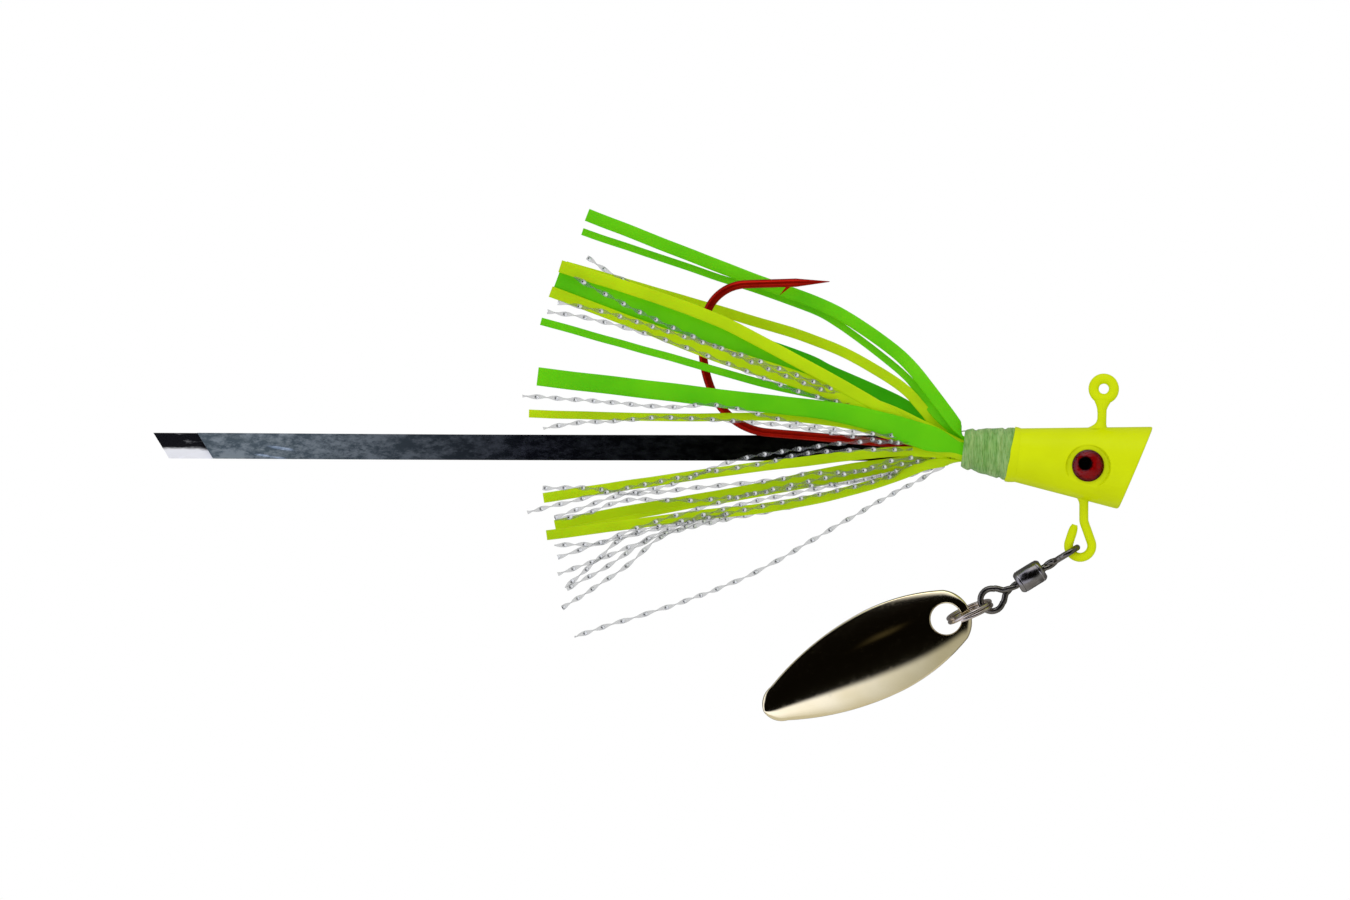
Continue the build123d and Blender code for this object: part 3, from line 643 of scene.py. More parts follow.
def turned(origin, axis, outline, sides=64, wobble=None):
    """Solid turned about an axis, from (distance along it, radius) points."""
    a = (NEAR if abs(axis.dot(NEAR)) < 0.9 else UP).copy()
    a = (a - axis * a.dot(axis)).normalized()
    b = axis.cross(a)
    rows = []
    for along, r in outline:
        row = []
        for t in angles(sides):
            rr = r + (wobble(along, t) if wobble else 0)
            row.append(origin + axis * along + a * (rr * math.cos(t)) + b * (rr * math.sin(t)))
        rows.append(row)
    return solid(rows)


def arc_path(start, heading, steps, spacing=0.18):
    """Points along straights and (bend radius, turn) arcs in the middle plane."""
    points = [start]
    at = start
    for step in steps:
        if isinstance(step, tuple):
            bend, turn = step
            side = math.copysign(90, turn)
            centre = at + in_plane(heading + side) * bend
            parts = max(2, round(math.radians(abs(turn)) * bend / spacing))
            for k in range(1, parts + 1):
                points.append(centre + in_plane(heading - side + turn * k / parts) * bend)
            heading += turn
        else:
            parts = max(1, round(step / spacing / 3))
            for k in range(1, parts + 1):
                points.append(at + in_plane(heading) * (step * k / parts))
        at = points[-1]
    return points, heading


def spline_points(points, spacing):
    """Points along a smooth curve through the given ones."""
    ends = [points[0] * 2 - points[1]] + points + [points[-1] * 2 - points[-2]]
    out = [points[0]]
    for i in range(1, len(ends) - 2):
        p0, p1, p2, p3 = ends[i - 1 : i + 3]
        parts = max(1, round((p2 - p1).length / spacing))
        for k in range(1, parts + 1):
            t = k / parts
            curve = p1 * 2 + (p2 - p0) * t
            curve += (p0 * 2 - p1 * 5 + p2 * 4 - p3) * t**2
            curve += (p1 * 3 - p0 - p2 * 3 + p3) * t**3
            out.append(curve * 0.5)
    return out


# ---- head ----
LIP_PROFILE = [  # paint over the thread's front: (share of the lip's length, height)
    (0.0, -0.9), (0.0, 0.06), (0.05, 0.10), (0.3, 0.10), (0.75, 0.05), (1.0, 0.0), (1.0, -0.9),
]
LIP_INSIDE = 0.6  # how far the lip reaches into the head


def head_point(along, turn):
    """On the cone: distance along the axis, and the angle round it from the top."""
    grow = (along - WRAP_LENGTH) / HEAD_LENGTH
    tall = HEAD_REAR_R + (HEAD_FRONT_R - HEAD_REAR_R) * grow
    wide = HEAD_REAR_R + (HEAD_FRONT_HALF_WIDTH - HEAD_REAR_R) * grow
    centre = COLLAR_BACK + AXIS * along
    return centre + LIFT * (tall * math.cos(turn)) + NEAR * (wide * math.sin(turn))


def socketed(p):
    """Presses the eye's round socket into the head's side, with a paint-softened edge."""
    flat = Vector((p.x - SOCKET_CENTRE.x, 0, p.z - SOCKET_CENTRE.z)).length
    keep = smooth((flat - SOCKET_R + 0.18) / 0.22)
    depth = abs(p.y)
    if depth > SOCKET_FLOOR:
        depth = SOCKET_FLOOR + (depth - SOCKET_FLOOR) * keep
    return Vector((p.x, math.copysign(depth, p.y), p.z))


def head():
    sides, lengths, rounding = 320, 200, 0.4
    face = in_plane(-FACE_RAKE)
    turns = angles(sides)
    ends = []
    for t in turns:
        a, b = head_point(WRAP_LENGTH, t), head_point(WRAP_LENGTH + HEAD_LENGTH, t)
        share = (FACE_TOP - a).dot(face) / (b - a).dot(face)
        ends.append(WRAP_LENGTH + HEAD_LENGTH * share)
    rims = [head_point(e, t) for e, t in zip(ends, turns)]
    middle = sum(rims, Vector()) / sides
    rows = [[COLLAR_BACK + AXIS * (WRAP_LENGTH + 0.05)] * sides]
    collar = COLLAR_BACK + AXIS * WRAP_LENGTH
    rows.append([between(collar, head_point(WRAP_LENGTH, t), 0.96) for t in turns])
    for r in range(lengths + 1):
        share = r / lengths
        row = []
        for e, t in zip(ends, turns):
            along = between(WRAP_LENGTH + 0.12, e - rounding, share)
            row.append(socketed(head_point(along, t)))
        rows.append(row)
    for r in range(1, 9):
        share = r / 8
        row = []
        for e, t, rim in zip(ends, turns, rims):
            start = head_point(e - rounding, t)
            inward = rim + (middle - rim).normalized() * rounding
            row.append(between(between(start, rim, share), between(rim, inward, share), share))
        rows.append(row)
    edge = rows[-1]
    for share in (0.2, 0.4, 0.6, 0.8, 0.98):
        rows.append([between(p, middle, share) for p in edge])
    shell = solid(rows)
    steps = [k / 16 for k in range(17)]

    def sag(centre, level, height, spread, foot, away):
        """Paint gathered where a wire enters the head, fuller on the side towards `away`."""
        rows = []
        for share in steps:
            here = Vector((centre, 0, level + height * share))
            row = []
            for t in angles(40):
                out = Vector((math.cos(t), math.sin(t), 0))
                more = 0.5 + 0.5 * out.dot(away)
                reach = PAINTED_R + (spread + foot * more**2) * (1 - share) ** 2.2
                row.append(here + out * reach)
            rows.append(row)
        return solid(rows)

    tie = sag(-0.3, -5.0, 1.15, 0.2, 1.35, Vector((-1, 0, 0)))
    hanger = sag(-2.5, -13.45, -1.1, 0.15, 0.35, Vector((-1, 0, 0)))
    lip = []
    for share, proud in LIP_PROFILE:
        row = []
        for t in turns:
            low = 0.5 - 0.5 * math.cos(t)
            back = 0.15 + 0.5 * low + 0.16 * noise.noise(Vector((math.cos(t), math.sin(t), 5)) * 2)
            here = between(WRAP_LENGTH - back, WRAP_LENGTH + LIP_INSIDE, share)
            out = head_point(here, t) - (COLLAR_BACK + AXIS * here)
            radius = max(out.length, wrap_radius(min(here, WRAP_LENGTH)) + 0.04) + proud
            row.append(COLLAR_BACK + AXIS * here + out.normalized() * radius)
        lip.append(row)
    shape = joined(shell, tie, hanger, solid(lip))
    mesh_piece("head", shape, PAINT, "lure", ["head"], sharp=55)


# ---- hook and hanger ----
def jig_hook():
    """One wire: red from the point to the head, painted over at the line tie."""
    steps = [5.95, (1.6, -93.4), 40.1, (8.2, -60.1), (15.0, -35.0), 0.5, (5.33, -78.2), 6.3]
    path, heading = arc_path(Vector((-0.18, 0, -1.4)), -91.5, steps)
    buried = next(i for i, p in enumerate(path) if p.x < -6)
    stem = tube(path[: buried + 1], PAINTED_R, 24)
    spear = path[-1]
    length = 4.2
    red_path = path[buried:] + [spear + in_plane(heading) * (length * k / 14) for k in range(1, 15)]
    taper_from = len(red_path) - 15

    def wire(i, _):
        share = max(0.0, (i - taper_from) / 14)
        return HOOK_R * (1 - share) + 0.045 * share

    red = tube(red_path, wire, 24)
    root = spear - in_plane(heading) * 0.4 + in_plane(heading - 90) * (HOOK_R - 0.12)
    back, down = in_plane(heading + 180), in_plane(heading - 90)
    tip = root + back * 1.75 + down * 1.15
    rows = []
    for k in range(9):
        share = k / 8
        half = 0.24 * (1 - 0.6 * share)
        upper = between(root + back * 0.75 - down * 0.1, tip, share)
        lower = between(root - down * 0.1, tip, share)
        ring = [(lower, half * 0.5), (upper, half), (upper, -half), (lower, -half * 0.5)]
        rows.append([p + NEAR * off for p, off in ring])
    barb = solid(rows)
    mesh_piece("jig_hook", joined(red, barb), RED, "lure", ["jig_hook"], sharp=50)
    rows = []
    for t in angles(64):
        out = Vector((math.cos(t), 0, math.sin(t)))
        row = []
        for a in angles(24):
            swell = 1 + 0.03 * noise.noise(out * 1.3)
            reach = TIE_RING_R + TIE_WIRE[0] * swell * math.cos(a)
            row.append(out * reach + NEAR * (TIE_WIRE[1] * math.sin(a)))
        rows.append(row)
    rows.append(rows[0])
    eye = grid(rows)
    neck = []
    for k in range(15):
        share = k / 14
        here = between(Vector((-0.08, 0, -1.35)), Vector((-0.26, 0, -2.9)), share)
        wide, thick = between(1.15, PAINTED_R, smooth(share) ** 0.6), PAINTED_R
        flare = [Vector((wide * math.cos(a), thick * math.sin(a), 0)) for a in angles(28)]
        neck.append([here + out for out in flare])
    shape = joined(stem, eye, solid(neck))
    mesh_piece("line_tie", shape, PAINT, "lure", ["jig_hook"], sharp=50)


def blade_hanger():
    steps = [5.3, (1.5, 19.6), 2.47, (LOOP_R, -217.6), 2.3]
    path, _ = arc_path(Vector((-2.5, 0, -11.0)), -90.0, steps, 0.12)

    def wire(i, count):
        left = count - 1 - i
        return PAINTED_R * (1 if left > 2 else (0.97, 0.86, 0.6)[2 - left])

    mesh_piece(
        "blade_hanger", tube(path, wire, 24), PAINT, "lure", ["blade_hanger"]
    )


# ---- eyes ----
def eye(side, tag):
    out = Vector((0, side, 0))
    base = EYE_CENTRE + out * SOCKET_FLOOR
    globe = (EYE_R**2 + LENS_RISE**2) / (2 * LENS_RISE)
    turns = angles(96)

    def circle(radius, rise):
        return [
            base + out * rise + Vector((radius * math.cos(t), 0, radius * math.sin(t)))
            for t in turns
        ]

    foil_rows = [circle(EYE_R, 0.01), circle(EYE_R, FOIL_T - 0.02)]
    foil_rows += [circle(EYE_R * (1 - k / 24), FOIL_T) for k in range(24)]
    verts, faces = solid(foil_rows)
    uv = []
    for v in verts:
        uv.append((0.5 + (v.x - base.x) / (2 * EYE_R), 0.5 + (v.z - base.z) / (2 * EYE_R)))
    mesh_piece(
        f"eye_foil_{tag}", (verts, faces), EYE_PRINT, "lure", [f"eye_foil_{tag}"], uv
    )
    lens_rows = [circle(EYE_R * 0.02, FOIL_T + 0.01), circle(EYE_R * 0.99, FOIL_T + 0.01)]
    for k in range(28):
        radius = EYE_R * 0.99 * math.cos(math.pi / 2 * k / 28)
        rise = math.sqrt(globe**2 - radius**2) - (globe - LENS_RISE)
        lens_rows.append(circle(radius, FOIL_T + 0.03 + rise))
    mesh_piece(
        f"eye_lens_{tag}", solid(lens_rows), DOME, "lure",
        [f"eye_lens_{tag}"], sharp=60,
    )


# ---- thread ----
BANDS = [
    (0, 0), (0.35, 0.13), (0.9, 0.2), (1.35, -0.03), (1.7, 0.06), (2.4, 0.13), (3.4, 0.08),
    (4.55, 0.1), (4.95, -0.1), (5.3, 0.06), (5.9, 0.08), (6.3, 0),
]
TURN_PITCH = 0.19  # one wind of floss


def wrap_radius(along):
    proud = 0
    for (a, p), (b, q) in zip(BANDS, BANDS[1:]):
        if a <= along <= b:
            proud = between(p, q, smooth((along - a) / (b - a)))
    return between(WRAP_REAR_R, WRAP_FRONT_R, along / WRAP_LENGTH) + proud


def thread_wrap():
    def winds(along, t):
        lay = along / TURN_PITCH + t / (2 * math.pi)
        lay += 0.7 * noise.noise(Vector((along * 0.8, math.cos(t) * 1.5, math.sin(t) * 1.5)))
        fine = 0.022 * abs(math.sin(math.pi * lay))
        lumps = 0.04 * noise.noise(Vector((along * 1.5, math.cos(t) * 1.6, math.sin(t) * 1.6)))
        return fine + lumps

    count = 330
    outline = [(0.02, 1.2), (0.0, WRAP_REAR_R - 0.25)]
    outline += [
        (WRAP_LENGTH * k / count, wrap_radius(WRAP_LENGTH * k / count)) for k in range(count + 1)
    ]
    outline += [(WRAP_LENGTH + 0.02, WRAP_FRONT_R - 0.35), (WRAP_LENGTH + 0.02, 0.2)]

    def wobble(along, t):
        return winds(along, t) if 0.001 <= along <= WRAP_LENGTH else 0

    shape = turned(COLLAR_BACK, AXIS, outline, 160, wobble)
    mesh_piece("thread_wrap", shape, FLOSS, "lure", ["thread_wrap"], sharp=80)


def thread_tag():
    start = COLLAR_BACK + LIFT * 2.2 + AXIS * 0.3
    tips = [(0, 0, 0), (-0.45, 0.02, 0.03), (-0.8, 0.06, -0.05), (-0.98, 0.02, -0.16)]
    path = spline_points([start + Vector(p) for p in tips], 0.06)
    shape = tube(path, lambda i, n: 0.08 * (1 - 0.3 * i / n), 10)
    mesh_piece("thread_tag", shape, FLOSS, "lure", ["thread_tag"])


# ---- swivel, ring and blade ----
def wire_eye(centre, plane_side, towards, reach):
    """A wire bent round into a pear-shaped eye, its two ends twisted together down the neck."""
    opening = math.radians(48)
    count = 70
    loop = []
    for k in range(count + 1):
        t = between(opening, 2 * math.pi - opening, k / count)
        loop.append(centre + (towards * math.cos(t) + plane_side * math.sin(t)) * EYE_RING_R)
    across = towards.cross(plane_side)
    strands = []
    for phase, end in ((1, loop[0]), (-1, loop[-1])):
        leg = []
        first = (end - centre).dot(towards)
        for k in range(1, 37):
            share = k / 36
            along = between(first, reach, share)
            pinch = smooth(share / 0.42)
            turn = math.pi * 0.9 * max(0.0, share - 0.3) / 0.7
            apart = between((end - centre).dot(plane_side) * phase, 0.21, pinch) * phase
            side = plane_side * math.cos(turn) + across * math.sin(turn)
            leg.append(centre + towards * along + side * apart)
        strands.append(leg)
    path = strands[0][::-1] + loop + strands[1]
    ends = 22

    def wire(i, n):
        left = min(i, n - 1 - i)
        return between(0.31, SWIVEL_R, smooth(left / ends))

    return tube(path, wire, 18)


def swivel():
    half = BARREL_HALF
    fore = BARREL_AT - half - (UPPER_EYE - LOOP_CENTRE).length
    aft = SWIVEL_REACH - BARREL_AT - half
    across = ALONG.cross(NEAR).normalized()
    eyes = (
        ("swivel_upper_eye", "upper_eye", UPPER_EYE, NEAR, ALONG, fore),
        ("swivel_lower_eye", "lower_eye", LOWER_EYE, across, ALONG * -1, aft),
    )
    for name, body, centre, side, towards, gap in eyes:
        bent = wire_eye(centre, side, towards, gap - 0.1)
        pin_from = centre + towards * (gap - 0.35)
        stem = [(0, 0.2), (0, 0.42), (0.2, 0.46), (0.75, 0.46), (0.85, 0.88), (1.25, 0.88)]
        pin = turned(pin_from, towards, stem, 32)
        mesh_piece(name, joined(bent, pin), GUNMETAL, body, [name], sharp=60)
    crimp = [
        (-half, 0.5), (-half, 1.05), (-half + 0.06, 1.18), (-half + 0.16, 1.28),
        (-half + 0.3, 1.37), (-half + 0.42, 1.43), (-half + 0.5, BARREL_R),
        (-half + 0.6, BARREL_R - 0.05), (-half + 0.68, BARREL_R), (0, BARREL_R + 0.005),
    ]
    outline = crimp + [(-a, r) for a, r in reversed(crimp[:-1])]
    inside = [(half - 0.4, 0.5), (half - 0.42, 1.08), (-half + 0.42, 1.08), (-half + 0.4, 0.5)]
    sides = 64
    verts, faces = turned(LOOP_CENTRE + ALONG * BARREL_AT, ALONG, outline + inside, sides)
    faces = faces[:-2]
    last = len(outline + inside) - 1
    for c in range(sides):
        n = (c + 1) % sides
        faces.append((last * sides + c, last * sides + n, n, c))
    mesh_piece(
        "swivel_barrel", (verts, faces), BARREL_DARK, "barrel", ["swivel_barrel"],
        sharp=45,
    )


def split_ring():
    """One wire wound twice, its ends lying side by side."""
    lean = math.radians(RING_LEAN)
    level = RING_ALONG.cross(NEAR).normalized()
    aside = NEAR * math.cos(lean) - level * math.copysign(math.sin(lean), level.z)
    axis = RING_ALONG.cross(aside).normalized()
    path = []
    count = 260
    for k in range(count + 1):
        share = k / count
        t = math.radians(60) + share * 2 * math.pi * 1.96
        step = smooth((share - 0.42) / 0.16)
        rise = between(-RING_WIRE_R + 0.01, RING_WIRE_R - 0.01, step)
        out = RING_ALONG * math.cos(t) + aside * math.sin(t)
        path.append(RING_CENTRE + out * RING_R + axis * rise)
    mesh_piece("split_ring", tube(path, 0.245, 14), NICKEL, "ring", ["split_ring"])


def leaf_outline():
    """The blade's edge as dense points, in its own plane with the hole at the centre."""

    def through(a, b, c, count):
        """Points on the circle through three points, from the first to the last."""
        d = 2 * (a[0] * (b[1] - c[1]) + b[0] * (c[1] - a[1]) + c[0] * (a[1] - b[1]))
        squares = [p[0] ** 2 + p[1] ** 2 for p in (a, b, c)]
        x = squares[0] * (b[1] - c[1]) + squares[1] * (c[1] - a[1]) + squares[2] * (a[1] - b[1])
        y = squares[0] * (c[0] - b[0]) + squares[1] * (a[0] - c[0]) + squares[2] * (b[0] - a[0])
        x, y = x / d, y / d
        radius = math.hypot(a[0] - x, a[1] - y)
        start = math.atan2(a[1] - y, a[0] - x)
        end = math.atan2(c[1] - y, c[0] - x)
        if end > start:
            end -= 2 * math.pi
        spots = [between(start, end, k / count) for k in range(count + 1)]
        return [(x + radius * math.cos(t), y + radius * math.sin(t)) for t in spots]

    marks = [
        (-BLADE_HEAD, 0), (-2.75, 1.75), (-1.3, 3.4), (3.4, 4.95), (8.5, BLADE_HALF_WIDTH),
        (16.5, 4.65), (23.4, 2.35), (25.15, 1.2), (BLADE_TAIL, 0),
    ]
    upper = []
    for i, count in ((0, 30), (2, 60), (4, 90), (6, 30)):
        upper += through(*marks[i : i + 3], count)[: None if i == 6 else -1]
    return upper + [(x, -y) for x, y in reversed(upper[1:-1])]


def blade():
    outline = leaf_outline()
    bearings = sorted((math.atan2(y, x), math.hypot(x, y)) for x, y in outline)

    def reach(bearing):
        ends = bearings[-1:] + bearings + bearings[:1]
        ends[0] = (ends[0][0] - 2 * math.pi, ends[0][1])
        ends[-1] = (ends[-1][0] + 2 * math.pi, ends[-1][1])
        for (a, r), (b, s) in zip(ends, ends[1:]):
            if a <= bearing <= b:
                return between(r, s, (bearing - a) / max(b - a, 1e-9))
        return bearings[0][1]

    upper = outline[: len(outline) // 2 + 1]

    def half_width(x):
        for (a, p), (b, q) in zip(upper, upper[1:]):
            if a <= x <= b:
                return between(p, q, (x - a) / max(b - a, 1e-9))
        return 0.05

    widths = [max(0.3, half_width(-BLADE_HEAD + k * 0.1)) for k in range(290)]
    for _ in range(6):
        widths = [sum(widths[max(0, k - 2) : k + 3]) / len(widths[max(0, k - 2) : k + 3])
                  for k in range(len(widths))]

    def dish(x, y):
        """Long gentle sweep, and a cross-section that falls as steeply at every edge."""
        swept = (x - BLADE_MIDDLE) ** 2 / (2 * BLADE_SWEEP)
        place = min(max((x + BLADE_HEAD) / 0.1, 0), len(widths) - 2)
        k = int(place)
        wide = between(widths[k], widths[k + 1], place - k)
        return BLADE_CROWN - swept - BLADE_EDGE_SLOPE * y * y / (2 * wide)

    sides, count = 420, 90
    # finer steps near the long tip's bearing, where the edge is furthest from the hole
    turns = []
    for t in angles(sides):
        turns.append(t - TIP_CROWDING * math.sin(t))
    reaches = [reach((t + math.pi) % (2 * math.pi) - math.pi) for t in turns]
    edge = BLADE_T / 2

    def at(t, radius, level):
        x, y = radius * math.cos(t), radius * math.sin(t)
        rise = dish(x, y) - edge + level
        return BLADE_HOLE + BLADE_ALONG * x + BLADE_ACROSS * y + NEAR * rise

    rows = []
    for side in (1, -1):
        shares = [k / count for k in range(count + 1)]
        for share in shares if side > 0 else reversed(shares):
            rows.append([
                at(t, between(BLADE_HOLE_R + HOLE_ROLL, r - EDGE_ROLL, share), side * edge)
                for t, r in zip(turns, reaches)
            ])
        bulge = [math.pi * k / 10 for k in range(1, 10)]
        for a in bulge:
            level = side * edge * math.cos(a)
            push = math.sin(a)
            row = []
            for t, r in zip(turns, reaches):
                out, back = r - EDGE_ROLL * (1 - push), BLADE_HOLE_R + HOLE_ROLL * (1 - push)
                row.append(at(t, out if side > 0 else back, level))
            rows.append(row)
    rows.append(rows[0])
    mesh_piece("blade", grid(rows), GOLD, "blade", ["blade"], sharp=70)


# ---- skirt and tail ----
def slot_on_shank(angle, distance):
    """Where a strand leaves the wrap, and the way its flat side faces there."""
    facing = LIFT * math.cos(math.radians(angle)) + NEAR * math.sin(math.radians(angle))
    return COLLAR_BACK + facing * distance, facing


def ribbon_frames(root, facing, points, spacing, turn_in=9.0):
    """(point, along, across, normal, distance from the wrap) down a strand."""
    line = spline_points([root] + [Vector(p) for p in points], spacing)
    line = [root + AXIS * (2.6 - 0.26 * k) for k in range(10)] + line
    last = NEAR if facing.dot(NEAR) > -0.05 else NEAR * -1
    travelled = -2.6
    out = []
    for i, at in enumerate(line):
        after, before = line[min(i + 1, len(line) - 1)], line[max(i - 1, 0)]
        along = (after - before).normalized()
        ease = smooth(travelled / turn_in)
        normal = facing * (1 - ease) + last * ease
        normal = (normal - along * normal.dot(along)).normalized()
        out.append((at, along, along.cross(normal).normalized(), normal, travelled))
        travelled += (after - at).length
    return out


def width_at(name, width, travelled):
    steps = SPREAD.get(name, [(0, width)])
    for (a, p), (b, q) in zip(steps, steps[1:]):
        if travelled < b:
            return between(p, q, smooth((travelled - a) / (b - a)))
    return steps[-1][1]


def strand(name, angle, distance, width, points, seed):
    """Silicone strand: rounded edges, a slight curl across, and a flat cut end."""
    root, facing = slot_on_shank(angle, distance)
    stations = ribbon_frames(root, facing, points, 0.5, 4.0)
    rows, uv = [], []
    for at, along, across, normal, travelled in stations:
        ease = smooth(travelled / 5.0)
        half_w = between(min(0.72, width / 2), width_at(name, width, travelled) / 2, ease)
        half_t = between(0.17, STRAND_T / 2, ease)
        where = Vector((travelled * 0.22, seed * 7.3, 0))
        sway = 0.06 * ease * noise.noise(where)
        cup = 0.10 * ease * (0.6 + noise.noise(where + Vector((0, 40, 0)))) * width / 1.5
        row = []
        for t in angles(STRAND_SIDES):
            c, s = math.cos(t), math.sin(t)
            w = half_w * math.copysign(abs(c) ** 0.35, c)
            h = half_t * math.copysign(abs(s) ** 0.45, s)
            lift = cup * (0.33 - (w / half_w) ** 2) if half_w else 0
            row.append(at + across * (w + sway) + normal * (h + lift))
            uv.append((0.5 + 0.5 * c, travelled / 10))
        rows.append(row)
    material = GREEN if "green" in name else YELLOW
    # painted shade: the far top strand gets the darker copy of the green
    if name == "strand_green_far_top":
        material = GREEN_PAINTED_SHADE
    mesh_piece(name, solid(rows), material, "lure", [name], uv, 50)


def tinsel(number, angle, points):
    """Flat flash fibre twisted along its length. It comes out from under the rubber strands."""
    root, facing = slot_on_shank(angle, 0.9)
    tucked = [(x, y * between(1, 0.3, smooth((x + 27) / 5)), z) for x, y, z in points]
    stations = ribbon_frames(root, facing, tucked, 0.16)
    start = random.uniform(0, 1)
    rows, uv = [], []
    for at, along, across, normal, travelled in stations:
        wander = 0.35 * noise.noise(Vector((travelled * 0.08, number * 3.1, 0)))
        turns = start + travelled / TINSEL_TURN + wander
        t = math.pi + 2 * math.pi * turns
        free = smooth(travelled / 3.0)
        wide = across * math.cos(t * free) + normal * math.sin(t * free)
        thick = along.cross(wide)
        half_w, half_t = wide * between(0.17, TINSEL_W / 2, free), thick * TINSEL_T / 2
        row = []
        for w, h in TINSEL_SECTION:
            cup = thick * (TINSEL_CUP * free * (0.5 - w * w))
            row.append(at + half_w * w + half_t * h + cup)
            uv.append((0.5 + 0.5 * w, turns * 2 + 0.5))
        rows.append(row)
    name = f"tinsel_{number:02d}"
    shape = solid(rows)
    mesh_piece(name, shape, TINSEL_SILVER, "lure", [name], uv, 60)


def fold(x, z):
    """How far the film bulges at a point of its side view."""
    rise = 0
    for (x0, z0), (x1, z1), depth in FILM_CREASES:
        dx, dz = x1 - x0, z1 - z0
        length = math.hypot(dx, dz)
        along = ((x - x0) * dx + (z - z0) * dz) / length
        off = ((z - z0) * dx - (x - x0) * dz) / length
        ends = smooth(along / 3.2) * smooth((length - along) / 2.4)
        waver = off + 0.3 * noise.noise(Vector((along * 0.45, x0, 0)))
        rise += depth * ends * math.exp(-((waver / 0.4) ** 2))
    return rise


def film(name, aside, points, seed):
    """Flat mirror ribbon with soft creases, narrow where the thread grips it."""
    root = COLLAR_BACK - NEAR * aside
    stations = ribbon_frames(root, NEAR * -1, points, 0.22)
    total = stations[-1][4]
    cells = 26
    rows, uv = [], []
    for at, along, across, normal, travelled in stations:
        ease = smooth(travelled / 9.0)
        half_w = between(0.55, FILM_W / 2, ease)
        aft = smooth((travelled - 30) / 45)
        row = []
        for face in (1, -1):
            for k in range(cells + 1):
                share = k / cells if face > 0 else 1 - k / cells
                w = (share * 2 - 1) * half_w
                spot = Vector((travelled * 0.16, w * 0.55, seed))
                crease = 0.10 * aft * noise.noise(spot)
                crease += 0.015 * aft * noise.noise(Vector((travelled * 0.5, w * 1.6, seed)))
                flat = at + across * w
                tip = smooth((travelled - total + 7.5) / 2.0) if seed == 0 else 0
                curl = 0.35 * tip * max(0.0, -7.05 - flat.z + 0.25 * (flat.x + 110))
                p = flat + NEAR * (fold(flat.x, flat.z) * (1 - tip) - curl)
                p += normal * (crease + face * FILM_T / 2)
                top = 1 if (across * w).dot(UP) > 0 else -1
                near_end = smooth((travelled - total + 4) / 4)
                p += along * (abs(w) / half_w * top * near_end)
                row.append(p)
                uv.append((share, travelled / 10))
        rows.append(row)
    # the long film gets the painted reflection of its bent end
    chrome = FILM_BENT_REFLECTION if name == "film_long" else FILM_CHROME
    mesh_piece(name, solid(rows), chrome, "lure", [name], uv, 50)


# ---- build the pieces ----
head()
jig_hook()
blade_hanger()
for side, tag in ((-1, "near"), (1, "far")):
    eye(side, tag)
thread_wrap()
thread_tag()
swivel()
split_ring()
blade()
for seed, (name, angle, distance, width, points) in enumerate(STRANDS):
    strand(name, angle, distance, width, points, seed)
for number, (angle, points) in enumerate(TINSEL, 1):
    tinsel(number, angle, points)
for seed, (name, aside, points) in enumerate(FILMS):
    film(name, aside, points, seed * 9.0)


# ---- studio ----
# The soft edges of two rectangles of directions: left and right in X, bottom and top in Z.
DARK_WINDOW = ((-0.80, -0.68), (0.72, 0.60), (-0.42, -0.30), (0.74, 0.66))
STREAK_WINDOW = ((-0.18, -0.07), (0.0, -0.06), (0.20, 0.25), (0.33, 0.27))
FLOOR_HALF = 0.5
FLOOR_LEVEL = -0.55
VIEW_WIDTH = 0.16875
VIEW_CENTRE = Vector((-0.0536, 0, -0.00765))
SENSOR_WIDTH = 36
FOCAL_LENGTH = 600


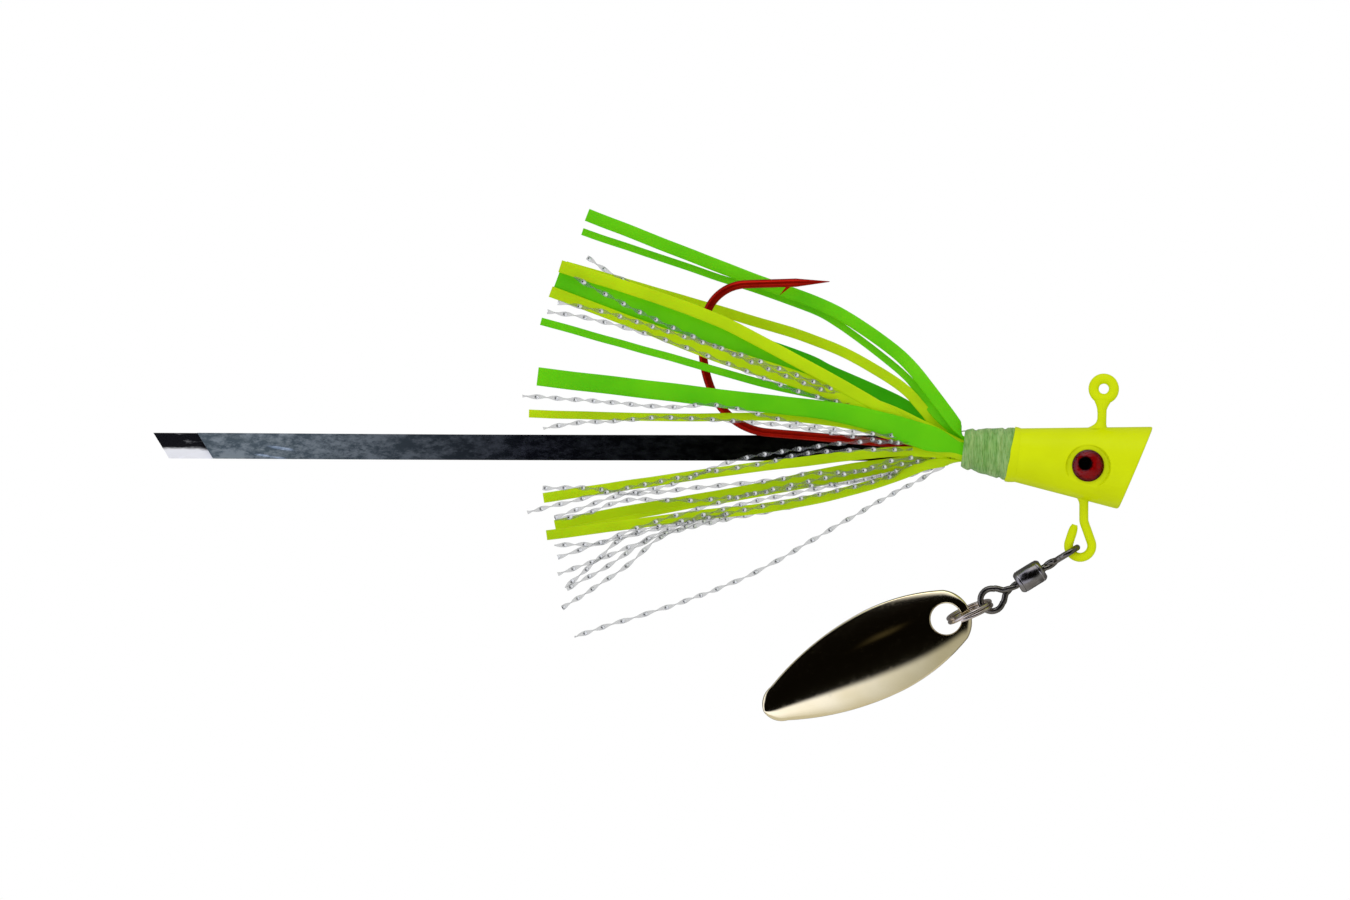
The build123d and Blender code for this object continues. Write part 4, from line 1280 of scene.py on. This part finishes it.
def studio():
    """White for the camera. The mirror pieces see a surround laid out by direction instead.

    Diffuse rays get a plain gradient, brighter from the near side. All other rays get a dark
    window on the near side with a faint streak in it, bright bands round it, and grey behind.
    """
    world = bpy.data.worlds.new("studio")
    bpy.context.scene.world = world
    world.use_nodes = True
    tree = world.node_tree
    tree.nodes.clear()

    def node(kind, **settings):
        made = tree.nodes.new(kind)
        for key, value in settings.items():
            setattr(made, key, value)
        return made

    coords = node("ShaderNodeTexCoord")
    split = node("ShaderNodeSeparateXYZ")
    tree.links.new(coords.outputs["Generated"], split.inputs[0])

    def edge(source, low, high):
        made = node("ShaderNodeMapRange", interpolation_type="SMOOTHSTEP")
        tree.links.new(split.outputs[source], made.inputs["Value"])
        made.inputs["From Min"].default_value = low
        made.inputs["From Max"].default_value = high
        return made.outputs[0]

    def times(a, b):
        made = node("ShaderNodeMath", operation="MULTIPLY")
        tree.links.new(a, made.inputs[0])
        tree.links.new(b, made.inputs[1])
        return made.outputs[0]

    def link_mix(fac, a, b):
        made = node("ShaderNodeMix", data_type="RGBA")
        for socket, value in ((made.inputs[0], fac), (made.inputs[6], a), (made.inputs[7], b)):
            if isinstance(value, tuple):
                socket.default_value = (*value, 1)
            else:
                tree.links.new(value, socket)
        return made.outputs[2]

    def window(left, right, bottom, top):
        """1 inside a soft-edged rectangle in front of the lure, 0 outside it."""
        inside = times(edge("X", *left), edge("X", *right))
        inside = times(inside, times(edge("Z", *bottom), edge("Z", *top)))
        return times(inside, edge("Y", -0.3, -0.5))

    dark = window(*DARK_WINDOW)
    streak = window(*STREAK_WINDOW)
    shade = link_mix(streak, (0.0025, 0.002, 0.0012), (0.05, 0.042, 0.024))
    bright = link_mix(edge("X", -0.15, 0.5), (1.30, 1.38, 1.80), (0.50, 0.52, 0.54))
    bright = link_mix(edge("Z", -0.55, -0.85), bright, (0.55, 0.55, 0.48))
    surround = link_mix(edge("Y", -0.35, 0.35), bright, (0.22, 0.22, 0.22))
    mirrored = link_mix(dark, surround, shade)
    frontal = link_mix(edge("Y", 0.5, -0.9), (0.62, 0.62, 0.62), (1.02, 1.02, 1.02))
    rays = node("ShaderNodeLightPath")
    seen = link_mix(rays.outputs["Is Diffuse Ray"], mirrored, frontal)
    seen = link_mix(rays.outputs["Is Camera Ray"], seen, (1, 1, 1))
    lit = node("ShaderNodeBackground")
    tree.links.new(seen, lit.inputs["Color"])
    out = node("ShaderNodeOutputWorld")
    tree.links.new(lit.outputs[0], out.inputs["Surface"])


def floor():
    mesh = bpy.data.meshes.new("floor")
    corners = [(-1, -1), (1, -1), (1, 1), (-1, 1)]
    spots = [(x * FLOOR_HALF, y * FLOOR_HALF, FLOOR_LEVEL) for x, y in corners]
    mesh.from_pydata(spots, [], [(0, 1, 2, 3)])
    shader = Shader("pale_floor")
    cloud = shader.noise(shader.place(), 3, 2)
    shader.set(colour=shader.greys(cloud, [(0.3, 0.84), (0.7, 0.88)]), roughness=0.8)
    mesh.materials.append(shader.material)
    in_scene("floor", mesh)


def softbox(place, aim, size, power):
    data = bpy.data.lights.new("softbox", "AREA")
    data.shape = "RECTANGLE"
    data.size, data.size_y = size
    data.energy = power
    lamp = in_scene("softbox", data)
    lamp.location = place
    lamp.rotation_mode = "QUATERNION"
    lamp.rotation_quaternion = (Vector(aim) - Vector(place)).to_track_quat("-Z", "Y")


def camera():
    """Long lens square on to the near side; the view is VIEW_WIDTH across at the middle plane."""
    data = bpy.data.cameras.new("camera")
    data.sensor_width = SENSOR_WIDTH
    data.lens = FOCAL_LENGTH
    distance = VIEW_WIDTH / 2 / (SENSOR_WIDTH / 2 / FOCAL_LENGTH)
    data.clip_end = 20
    made = in_scene("camera", data)
    made.location = VIEW_CENTRE - Vector((0, distance, 0))
    made.rotation_euler = (math.radians(90), 0, 0)
    bpy.context.scene.camera = made


studio()
floor()
softbox((-0.05, -0.25, 0.55), (-0.04, 0, 0), (0.5, 0.35), 0.5)
camera()
bpy.context.scene.view_settings.view_transform = "Standard"
bpy.context.scene.view_settings.look = "None"
